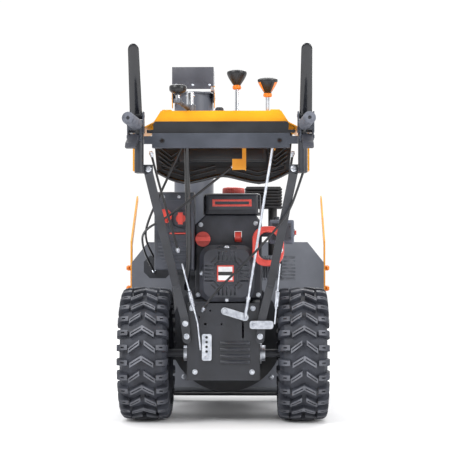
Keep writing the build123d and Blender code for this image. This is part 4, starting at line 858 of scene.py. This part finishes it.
def bar_through(bm, points, radius, segments=12):
    """A smooth round bar through some points, with its ends closed."""
    sections = []
    line = [Vector(point) for point in points]
    for i, place in enumerate(line):
        ahead = (line[min(i + 1, len(line) - 1)] - line[max(i - 1, 0)]).normalized()
        turn = ahead.to_track_quat("Z", "Y").to_matrix()
        sections.append([place + turn @ Vector((radius * math.cos(math.tau * k / segments),
                                                radius * math.sin(math.tau * k / segments), 0))
                                                for k in range(segments)])
    loft(bm, sections)


def build_panel_trim():
    """Raised pads at the panel's rear corners and over its front half."""
    bm = bmesh.new()
    for side in (-1, 1):
        rounded_box(bm, (side * 150 - 14, -479, PANEL_TOP - 2), (side * 150 + 14, -440, PANEL_TOP + 4), 3)
        rounded_box(bm, (side * 70 - 52, -380, PANEL_TOP - 1), (side * 70 + 52, -300, PANEL_TOP + 2.5), 2.5)
    return new_piece("dash_panel_pads", bm, orange_moulding)


def build_slot_trim():
    """Black bezels round the two lever slots, notch marks beside one, and a small dash switch."""
    bm = bmesh.new()
    for x, low, high in ((43, -464, -388), (130, -440, -360)):
        for dx in (-11, 8):
            rounded_box(bm, (x + dx, low - 4, PANEL_TOP - 0.5), (x + dx + 3, high + 4, PANEL_TOP + 2), 0.8,
                        2)
        for y in (low - 4, high + 1):
            rounded_box(bm, (x - 11, y, PANEL_TOP - 0.5), (x + 11, y + 3, PANEL_TOP + 2), 0.8, 2)
    for notch in range(7):
        y = -434 + 11 * notch
        rounded_box(bm, (138, y, PANEL_TOP - 0.5), (146, y + 2.4, PANEL_TOP + 1.4), 0.6, 2)
    lathe(bm, [(8.2, 0), (17, 0), (17, 2), (14, 4.5), (8.2, 5)], (-5, -455, PANEL_TOP - 0.3), (0, 0, 1), 32)
    lathe(bm, [(0, 0), (12, 0), (12, 8), (9, 12), (0, 13)], (-5, -455, PANEL_TOP), (0, 0, 1), 32)
    return new_piece("dash_slot_bezels", bm, dash_moulding)


def build_fairing_relief():
    """Nested chevron ribs each side of a recessed middle panel."""
    bm = bmesh.new()
    rounded_box(bm, (-128, FAIRING_REAR - 5, 776), (128, FAIRING_REAR + 3, 822), 3)
    rounded_box(bm, (-118, FAIRING_REAR - 6.5, 783), (118, FAIRING_REAR + 3, 815), 2)
    for side in (-1, 1):
        for level in range(6):
            top = 814 - 13 * level
            points = [(side * (134 if level < 4 else 40), top - 8),
                      (side * 152, top - 20 if level < 4 else top - 2),
                      (side * 188, top + 8)]
            if level >= 4:
                points = [(side * 22, top + 4), (side * 104, top - 16), (side * 178, top + 6)]
            bar_through(bm, [(x, FAIRING_REAR - 2, z) for x, z in points], 3.4, 12)
    return new_piece("dash_fairing_ribs", bm, dash_moulding, smooth_angle=50)


def build_fairing_lip():
    """The rolled lip that follows the fairing's scalloped lower edge."""
    bm = bmesh.new()
    outline = [(-x, z) for x, z in reversed(FAIRING_FOOT[1:])] + FAIRING_FOOT
    points = []
    for (x0, z0), (x1, z1) in zip(outline, outline[1:]):
        points += [(x0 + (x1 - x0) * share, z0 + (z1 - z0) * share) for share in (0, 0.25, 0.5, 0.75)]
    points.append(outline[-1])
    for _ in range(3):
        middle = [((a[0] + 2 * b[0] + c[0]) / 4, (a[1] + 2 * b[1] + c[1]) / 4) for a, b,
                  c in zip(points, points[1:], points[2:])]
        points = [points[0]] + middle + [points[-1]]
    bar_through(bm, [(x, FAIRING_REAR - 3, z + 3) for x, z in points], 5.5, 16)
    return new_piece("dash_fairing_lip", bm, gloss_black, smooth_angle=60)


def build_crossbar_trim():
    """The pressed seats of the crossbar's two bolts."""
    bm = bmesh.new()
    for side in (-1, 1):
        lathe(bm, [(3.8, 0), (7, 0), (7, 1.2), (3.8, 1.4)], (side * 162, -497, 817), (0, -1, 0), 20)
    return new_piece("crossbar_bolt_seats", bm, dash_moulding)


def build_side_flanges():
    """Thin orange flanges that stand outside the posts, from the panel's edge down."""
    bm = bmesh.new()
    for side in (-1, 1):
        outline = [(-480, 735), (-480, 842), (-472, 848), (-330, 848), (-330, 812), (-440, 735)]
        loft(bm, [[(side * x, y, z) for y, z in outline] for x in (243.2, 244.6)])
    return new_piece("dash_panel_flanges", bm, orange_moulding)


for piece, slot in ((build_panel_trim(), "panel_orange"), (build_slot_trim(), "dash_black"),
                    (build_fairing_relief(), "dash_black"), (build_fairing_lip(), "dash_black"),
                    (build_crossbar_trim(), "dash_black"), (build_side_flanges(), "panel_orange")):
    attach(piece, "chassis")

# ---------------------------------------------------------------------------------------------
# Levers and crank: bright steel shafts on the pivot tube under the dash, each with a flared black
# knob on an orange collar, and a cast crank arm with a mushroom knob that turns the chute.
# ---------------------------------------------------------------------------------------------
LEVER_PIVOT = (-400, 815)
CRANK_FOOT = (-88, -430)
CRANK_KNOB = (-118, -505)

# Chromed steel: bright and nearly smooth, with faint draw lines.
chrome = finished("chromed_shaft", "#C9CCD2", "#E9EBEF", 20, (0.1, 0.2), 0.8, 0.01, metallic=1.0)
# Orange moulded collar, redder than the panel.
collar_orange = finished("orange_collar_moulding", "#E0761A", "#EC8A2A", 18, (0.3, 0.42), 1.2, 0.04)
# Soft-touch black moulding: deep black, low sheen.
knob_black = finished("soft_black_moulding", "#131416", "#1D1E21", 18, (0.3, 0.46), 1.0, 0.05)


def build_lever(name, x, lean, reach, flanks):
    """A shaft with its boss, orange collar and flared knob; flanks are orange insets in the knob."""
    bm = bmesh.new()
    aim = Vector((0, -math.sin(math.radians(lean)), math.cos(math.radians(lean))))
    foot = Vector((x, *LEVER_PIVOT))
    lathe(bm, [(5.2, -9), (10, -9), (10, 9), (5.2, 9), (5.2, -9)], foot, (1, 0, 0), 32)
    turned_rod(bm, foot + aim * 9.5, foot + aim * (reach - 50), 5.8)
    if flanks:
        rounded_box(bm, (x + 4, -462, 809), (x + 8, -410, 819), 1.2)
    counts = [len(bm.faces)]
    lathe(bm, [(0, 0), (9, 0), (12, 2), (12.6, 6), (12, 10), (10, 12), (0, 12)], foot + aim * (reach - 56),
          aim, 40)
    counts.append(len(bm.faces))
    profile = [(0, 0), (10, 0), (12, 3), (16, 9), (20.5, 16), (24.5, 23), (27.5, 30), (28.5, 35),
               (27.5, 38.5),
               (22, 41.5), (12, 43.4), (0, 44)]
    lathe(bm, profile, foot + aim * (reach - 44), aim, 48)
    number_faces(bm, 1, *counts)
    for face in bm.faces[counts[1]:]:
        middle = face.calc_center_median() - (foot + aim * (reach - 44))
        beside = abs(middle.x) > 0.72 * math.hypot(middle.x,
                                                   middle.y + middle.z * math.sin(math.radians(lean)))
        face.material_index = 1 if flanks and beside and 6 < middle.dot(aim) < 30 else 2
    return new_piece(name, bm, chrome, collar_orange, knob_black)


def build_crank():
    """The bright shaft and its cross pin, the cast arm, and the mushroom knob on its post."""
    bm = bmesh.new()
    cx, cy = CRANK_FOOT
    kx, ky = CRANK_KNOB
    lathe(bm, [(0, 0), (8, 0), (8, 24), (0, 24)], (cx, cy, 878), (0, 0, 1), 32)
    lathe(bm, [(0, 0), (10, 0), (10, 55), (8.5, 57), (5, 57), (5, 51), (0, 51)], (cx, cy, 904), (0, 0, 1),
          32)
    lathe(bm, [(0, 0), (16, 0), (18, 2), (18, 10), (16, 12), (0, 12)], (cx, cy, 880), (0, 0, 1), 40)
    turned_rod(bm, (cx - 12, cy, 950), (cx + 12, cy, 950), 2.4)
    turned_rod(bm, (kx, ky, 920), (kx, ky, 946), 6)
    arm_from = len(bm.faces)
    lathe(bm, [(10.2, 0), (15, 0), (15.5, 3), (15.5, 20), (14, 22), (10.2, 22)], (cx, cy, 903), (0, 0, 1),
          40)
    run = [(cx, cy, 913), (cx - 5, cy - 14, 914), (cx - 14, cy - 36, 918), (kx + 6, ky + 16, 923),
           (kx, ky, 926)]
    for _ in range(2):
        middle = []
        for a, b in zip(run, run[1:]):
            middle += [tuple(p * 0.75 + q * 0.25 for p, q in zip(a, b)),
                       tuple(p * 0.25 + q * 0.75 for p, q in zip(a, b))]
        run = [run[0]] + middle + [run[-1]]
    bar_through(bm, run, 6.6, 16)
    lathe(bm, [(0, 0), (10, 0), (11, 2), (11, 10), (10, 12), (0, 12)], (kx, ky, 920), (0, 0, 1), 32)
    knob_from = len(bm.faces)
    lathe(bm, [(0, 0), (9, 0), (10, 4), (19, 8), (23, 12), (24, 17), (24, 23), (22.5, 26), (18, 27.6),
               (0, 28)],
          (kx, ky, 941.8), (0, 0, 1), 48)
    number_faces(bm, 1, arm_from, knob_from)
    number_faces(bm, 2, knob_from)
    return new_piece("chute_crank_handle", bm, chrome, cast_alloy, knob_black)


for name, x, lean, reach, flanks in (("deflector_lever", 43, 0, 213, False),
                                     ("speed_lever", 130, 9, 190, True)):
    lever = build_lever(name + "_with_knob", x, lean, reach, flanks)
    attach(lever, name)
    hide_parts(name)
crank = build_crank()
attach(crank, "chute_crank")
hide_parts("chute_crank")

# ---------------------------------------------------------------------------------------------
# Rods, arms and springs: zinc plated wire and strip that carry the clutch and speed movements
# from the handlebar down to the frame, each clutch rod with a drawn coil spring in it.
# ---------------------------------------------------------------------------------------------
LEFT_ROD = [(-121, -262, 478), (-100.6, -250, 399), (-87.5, -243, 348), (-76, -236, 302), (-68, -231, 222)]
RIGHT_ROD = [(167, -262, 478), (160, -254, 399), (156, -249, 348), (152, -243, 300)]
SHIFT_TOP = (143.5, -452, 806)
SHIFT_FOOT = (64, -232, 312)
SPRING_TURNS = 17

finish_node(zinc, "shift_arm", "clutch_arm_left", "clutch_arm_right")


def coil(bm, start, end, radius, wire, turns):
    """A closely wound tension spring with a hook at each end."""
    start, end = Vector(start), Vector(end)
    turn = (end - start).to_track_quat("Z", "Y").to_matrix()
    run = (end - start).length
    points = [start]
    for step in range(turns * 12 + 1):
        share = step / (turns * 12)
        angle = math.tau * turns * share
        points.append(start + turn @ Vector((radius * math.cos(angle), radius * math.sin(angle),
                                             run * (0.08 + 0.84 * share))))
    points.append(end)
    bar_through(bm, points, wire, 6)


def build_clutch_rod(name, points):
    """Upper and lower wires joined by the spring, with a collar at each end of the spring."""
    bm = bmesh.new()
    bar_through(bm, points[:2], 2.8)
    bar_through(bm, [Vector(points[2]) + (Vector(points[1]) - Vector(points[2])) * 0.1] + points[2:], 2.8)
    coil(bm, points[1], points[2], 6.1, 1.25, SPRING_TURNS)
    for at in (points[1], points[2]):
        lathe(bm, [(0, -2), (4.4, -2), (4.4, 2), (0, 2)], at, Vector(points[2]) - Vector(points[1]), 16)
    return new_piece(name, bm, zinc, smooth_angle=60)


def build_shift_rod():
    """A round rod with a threaded sleeve between two lock nuts near its foot and a ball end on top."""
    bm = bmesh.new()
    foot, top = Vector(SHIFT_FOOT), Vector(SHIFT_TOP)
    aim = (top - foot).normalized()
    turned_rod(bm, foot, top, 3.8)
    turned_rod(bm, foot + aim * 16, foot + aim * 70, 5.8)
    for at in (14, 70):
        lathe(bm, [(0, 0), (7.4, 0), (7.4, 5), (0, 5)], foot + aim * at, aim, 6)
    lathe(bm, [(0, -7), (4, -6), (6.6, -3), (7, 0), (6.6, 3), (4, 6), (0, 7)], top, aim, 24)
    return new_piece("shift_rod_with_sleeve", bm, zinc)


for name, points in (("clutch_rod_left", LEFT_ROD), ("clutch_rod_right", RIGHT_ROD)):
    clutch_rod = build_clutch_rod(name + "_spring", points)
    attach(clutch_rod, name)
    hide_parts(name)
shift_rod = build_shift_rod()
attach(shift_rod, "shift_rod")
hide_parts("shift_rod")

# ---------------------------------------------------------------------------------------------
# Chute and deflector: rolled sheet, open towards the throw, with a moulded hood that tilts on two
# pins between orange painted straps.
# ---------------------------------------------------------------------------------------------
CHUTE_CENTRE = (-112, 236)
HOOD_PIVOT = (216, 1030)
HOOD_REAR = 167
HOOD_HALF = 69

# Grey powder coat on the chute, darker than the housing.
chute_powder = finished("chute_powder_coat", "#4A4D56", "#5A5D66", 90, (0.36, 0.5), 2.2, 0.09,
                        edge="#85878F")
# Dark grey moulding of the hood, evenly grained.
hood_moulding = finished("dark_hood_moulding", "#3E3F47", "#4B4C54", 60, (0.4, 0.54), 1.3, 0.07,
                         edge="#70727A")
finish_node(chute_powder, "chute_tube")


def build_hood():
    """A pressed hood: a rear plate with rounded corners and two cheeks, with riveted straps."""
    bm = bmesh.new()
    cx = CHUTE_CENTRE[0]
    rounded_box(bm, (cx - HOOD_HALF, HOOD_REAR, 1057), (cx + HOOD_HALF, HOOD_REAR + 3.4, 1130.6), 1.6)
    rounded_box(bm, (cx - HOOD_HALF + 6, HOOD_REAR - 0.7, 1078), (cx + HOOD_HALF - 6, HOOD_REAR + 1, 1124),
                1)
    for side in (-1, 1):
        outline = [(170, 1056), (202, 1018), (230, 1018), (286, 1075), (256, 1131), (170, 1131)]
        loft(bm, [[(cx + side * x, y, z) for y, z in outline] for x in (66.2, 68.8)])
    straps_from = len(bm.faces)
    for side in (-1, 1):
        outline = [(207, 1000), (225, 1000), (222, 1046), (214, 1072), (196, 1072), (200, 1046)]
        loft(bm, [[(cx + side * x, y, z) for y, z in outline] for x in (69.2, 72)])
        rounded_box(bm, (min(cx + side * 60, cx + side * 72), HOOD_REAR - 2.4, 1050),
                    (max(cx + side * 60, cx + side * 72), HOOD_REAR + 40, 1064), 1)
    rivets_from = len(bm.faces)
    for dx in (-56, 0, 56):
        lathe(bm, [(0, 0), (4.6, 0), (4.2, 1.4), (2.6, 2.6), (0, 3)], (cx + dx, HOOD_REAR + 0.1, 1070),
              (0, -1, 0), 24)
    for side in (-1, 1):
        hex_bolt(bm, (cx + side * 72, *HOOD_PIVOT), (side, 0, 0), 9, 2.4, washer=False)
    number_faces(bm, 1, straps_from, rivets_from)
    number_faces(bm, 2, rivets_from)
    return new_piece("deflector_hood", bm, hood_moulding, orange_powder, zinc)


def build_chute_trim():
    """The chute's stiffening beads and the hinge roll behind the hood."""
    bm = bmesh.new()
    cx, cy = CHUTE_CENTRE
    for z in (590, 760, 930):
        sections = []
        for step in range(25):
            angle = math.pi + math.pi * step / 24
            sections.append([(cx + r * math.cos(angle), cy + r * math.sin(angle), z + dz)
                             for r, dz in ((64.6, -4), (66.2, -2), (66.2, 2), (64.6, 4))])
        loft(bm, sections)
    turned_rod(bm, (cx - 60, cy - 64, 1046), (cx + 60, cy - 64, 1046), 3)
    return new_piece("chute_beads", bm, chute_powder, smooth_angle=50)


def build_chute_bolts():
    """Bolts that hold the chute's foot ring to its drive gear."""
    bm = bmesh.new()
    for turn in range(8):
        angle = math.tau * (turn + 0.5) / 8
        hex_bolt(bm, (CHUTE_CENTRE[0] + 76 * math.cos(angle), CHUTE_CENTRE[1] + 76 * math.sin(angle), 480),
                 (0, 0, 1), 9, 5)
    return new_piece("chute_foot_bolts", bm, zinc)


hood = build_hood()
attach(hood, "deflector")
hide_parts("deflector")
for piece in (build_chute_trim(), build_chute_bolts()):
    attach(piece, "chute")

# ---------------------------------------------------------------------------------------------
# Fasteners: flanged zinc bolts and pivot pins on the frame, and orange wing knobs that clamp the
# drift cutters to the housing's sides.
# ---------------------------------------------------------------------------------------------
COVER_REAR = -215
BAR_REAR = -229
WING_LINE = 352
WING_LEVELS = (393, 463)


def build_bolts():
    """Every bolt head on the rear cover, the bars, the housing's back and the drum."""
    bm = bmesh.new()
    for x, z in ((-85, 156), (85, 156), (-95, 345), (88, 345)):
        hex_bolt(bm, (x, COVER_REAR, z), (0, -1, 0), 10, 5)
    for x, z in ((-113, 300), (113, 300), (-109, 262), (109, 262)):
        hex_bolt(bm, (x, BAR_REAR, z), (0, -1, 0), 11, 5)
    for side in (-1, 1):
        hex_bolt(bm, (side * 201, -486.5, 740), (0, -1, 0), 11, 5)
        for turn in range(5):
            angle = math.radians(20 + 35 * turn)
            hex_bolt(bm, (side * 150, 330, 90 + 52 * turn), (0, -1, 0), 10, 5)
        for y in (440, 580):
            hex_bolt(bm, (side * 334, y, 60), (side, 0, 0), 12, 6)
    return new_piece("frame_bolts", bm, zinc)


def build_pins():
    """The pivots of the shift arm and of both clutch arms, with their clips."""
    bm = bmesh.new()
    for (x, z), reach in (((4, 337), 11), ((-50, 200), 11), ((90, 297), 28.6)):
        turned_rod(bm, (x, COVER_REAR - 0.1, z), (x, COVER_REAR - reach, z), 4.9)
    lathe(bm, [(0, 0), (8, 0), (8, 3), (6.5, 4.6), (0, 4.6)], (4, -223.2, 337), (0, -1, 0), 24)
    return new_piece("pivot_pins", bm, zinc)


def build_wing_knobs():
    """A hub and two rounded wings, moulded in one, on each clamp screw."""
    bm = bmesh.new()
    for side in (-1, 1):
        for z in WING_LEVELS:
            lathe(bm, [(0, 0), (9, 0), (9.4, 2), (9.4, 9), (7, 12), (0, 12.4)], (side * 336.4, WING_LINE, z),
                  (side, 0, 0), 28)
            for wing in (-1, 1):
                outline = []
                for step in range(17):
                    angle = math.tau * step / 16
                    outline.append((14 + 8.2 * math.cos(angle),
                                    (6.4 + 1.6 * math.cos(angle)) * math.sin(angle)))
                loft(bm, [[(side * x, WING_LINE + wing * y * shrink, z + dz * shrink) for y,
                           dz in outline[:-1]]
                          for x, shrink in ((340, 0.9), (341, 1), (347.5, 1), (349, 0.88))])
            turned_rod(bm, (side * 330.3, WING_LINE, z), (side * 337, WING_LINE, z), 3.9)
    return new_piece("wing_knobs", bm, collar_orange, smooth_angle=45)


for piece, slot in ((build_bolts(), "steel_zinc"), (build_pins(), "steel_zinc"),
                    (build_wing_knobs(), "metal_orange")):
    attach(piece, "chassis")
    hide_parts("fasteners")

# ---------------------------------------------------------------------------------------------
# Cables: sheathed inner wires from the clutch, steering and deflector controls, the smooth
# conduit down the left bar.
# ---------------------------------------------------------------------------------------------
CABLE_RADIUS = 3.4
SHEATHS = {
    "clutch_sheath_left": [(-196, -470, 790), (-175, -440, 700), (-150, -362, 600), (-130, -290, 512)],
    "clutch_sheath_right": [(200, -462, 790), (186, -430, 700), (180, -345, 600), (169, -276, 512)],
    "steering_cable": [(232, -470, 745), (214, -466, 690), (192, -424, 628), (153, -378, 574),
                       (82, -338, 497),
                       (-38, -275, 380), (-62, -240, 338)],
    "chute_cable": [(-88, -404, 862), (-157, -396, 715), (-228, -280, 588), (-242, -100, 545),
                    (-232, 60, 500),
                    (-222, 133, 478)],
    "deflector_cable": [(40, -404, 760), (-90, -380, 660), (-160, -325, 612), (-240, -250, 575),
                        (-254, -90, 530),
                        (-246, 60, 480), (-236, 133, 452)],
}
CONDUIT = [(-102, -360, 812), (-101, -300, 600), (-101, -248, 483), (-110, -222, 432), (-112, -180, 404)]

# Extruded cable sheath: black, smooth, slightly waxy.
sheath_black = finished("extruded_cable_sheath", "#141518", "#1F2024", 14, (0.32, 0.5), 1.0, 0.04,
                        round_mm=0)


def smooth_line(points):
    """The points along a smooth curve that is steered by the route's points."""
    curve = bpy.data.curves.new("route", "CURVE")
    curve.dimensions = "3D"
    curve.resolution_u = 12
    spline = curve.splines.new("NURBS")
    spline.points.add(len(points) - 1)
    for control, place in zip(spline.points, points):
        control.co = (*place, 1)
    spline.order_u = 3
    spline.use_endpoint_u = True
    holder = bpy.data.objects.new("route", curve)
    mesh = bpy.data.meshes.new_from_object(holder)
    line = [vert.co.copy() for vert in mesh.vertices]
    bpy.data.objects.remove(holder)
    bpy.data.meshes.remove(mesh)
    bpy.data.curves.remove(curve)
    return line


def build_conduit():
    """A smooth hose of glossy plastic round the wires from the dash."""
    bm = bmesh.new()
    bar_through(bm, smooth_line(CONDUIT), 8.2, 24)
    return new_piece("wiring_conduit", bm, gloss_black, smooth_angle=60)


def build_ferrules():
    """Bright ferrules and adjuster nuts at the cables' ends."""
    bm = bmesh.new()
    for route in SHEATHS.values():
        for end, inner in ((route[0], route[1]), (route[-1], route[-2])):
            aim = (Vector(inner) - Vector(end)).normalized()
            lathe(bm, [(0, 0), (4.4, 0), (4.4, 14), (3.6, 16), (0, 16)], Vector(end), aim, 20)
            lathe(bm, [(0, 0), (6.4, 0), (6.4, 4), (0, 4)], Vector(end) + aim * 5, aim, 6)
    return new_piece("cable_ferrules", bm, zinc)


pieces = [build_conduit(), build_ferrules()]
for name, route in SHEATHS.items():
    bm = bmesh.new()
    bar_through(bm, smooth_line(route), CABLE_RADIUS, 14)
    pieces.append(new_piece(name, bm, sheath_black, smooth_angle=60))
for piece in pieces:
    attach(piece, "chassis")
    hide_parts("control_cables")

# ---------------------------------------------------------------------------------------------
# Studio: a pale floor that runs up to a surround, white ahead and dimmer behind the camera, with
# two soft boxes behind the machine, one in front, and a broad wash from above.  The camera
# stands behind the machine, a little right of its middle plane, about as high as the engine.
# ---------------------------------------------------------------------------------------------


def place_camera():
    """The viewpoint: level with the engine, looking forward along the machine."""
    data = bpy.data.cameras.new("camera")
    data.lens = 95.9
    data.sensor_width = 36
    camera = bpy.data.objects.new("camera", data)
    camera.location = (0.094, -3.79, 0.48)
    camera.rotation_euler = (math.radians(91.815), 0, math.radians(1.433))
    scene.collection.objects.link(camera)
    scene.camera = camera


def soft_box(name, place, aim, size, watts):
    """A square area light that faces a point."""
    data = bpy.data.lights.new(name, "AREA")
    data.size = size
    data.energy = watts
    lamp = bpy.data.objects.new(name, data)
    lamp.location = place
    lamp.rotation_euler = (Vector(aim) - Vector(place)).to_track_quat("-Z", "Y").to_euler()
    scene.collection.objects.link(lamp)


def floor_wash():
    """A broad soft light from straight above, which keeps the far floor as white as the near."""
    data = bpy.data.lights.new("floor_wash", "SUN")
    data.energy = 1.15
    data.angle = math.radians(70)
    lamp = bpy.data.objects.new("floor_wash", data)
    lamp.location = (0, 0, 4)
    scene.collection.objects.link(lamp)


def studio_floor():
    """Seamless white paper, faintly mottled so that the shadow has some tooth."""
    bm = bmesh.new()
    corners = [bm.verts.new(corner)
               for corner in ((-9e3, -9e3, 0), (9e3, -9e3, 0), (9e3, 9e3, 0), (-9e3, 9e3, 0))]
    bm.faces.new(corners)
    paper, tree, shader = start_material("seamless_paper", "#F4F4F5", 0.85)
    place, _, _ = mottle(tree, shader, "#F1F1F2", "#F6F6F7", 900, 0.8, 0.9)
    grain(tree, shader, place, 4, 0.05, 0.1)
    floor = new_piece("studio_floor", bm, paper)


place_camera()
studio_floor()
floor_wash()
soft_box("key_box", (-2.6, -3.2, 3.4), (0, 0, 0.5), 1.8, 150)
soft_box("fill_box", (3.0, -2.6, 2.2), (0, 0, 0.4), 1.6, 80)
soft_box("front_box", (0.5, 4.0, 3.0), (0, 0, 0.5), 3.0, 90)
scene.world = bpy.data.worlds.new("white_surround")
scene.world.use_nodes = True
surround = scene.world.node_tree
facing = add_node(surround, "ShaderNodeTexCoord")
parts = add_node(surround, "ShaderNodeSeparateXYZ", links={"Vector": facing.outputs["Generated"]})
glow = add_node(surround, "ShaderNodeMapRange", {"interpolation_type": "SMOOTHSTEP"},
                {"From Min": -0.7, "From Max": 0.6, "To Min": 0.52, "To Max": 1.04},
                {"Value": parts.outputs["Y"]})
surround.nodes["Background"].inputs["Color"].default_value = (1, 1, 1, 1)
surround.links.new(glow.outputs["Result"], surround.nodes["Background"].inputs["Strength"])
scene.view_settings.view_transform = "Standard"
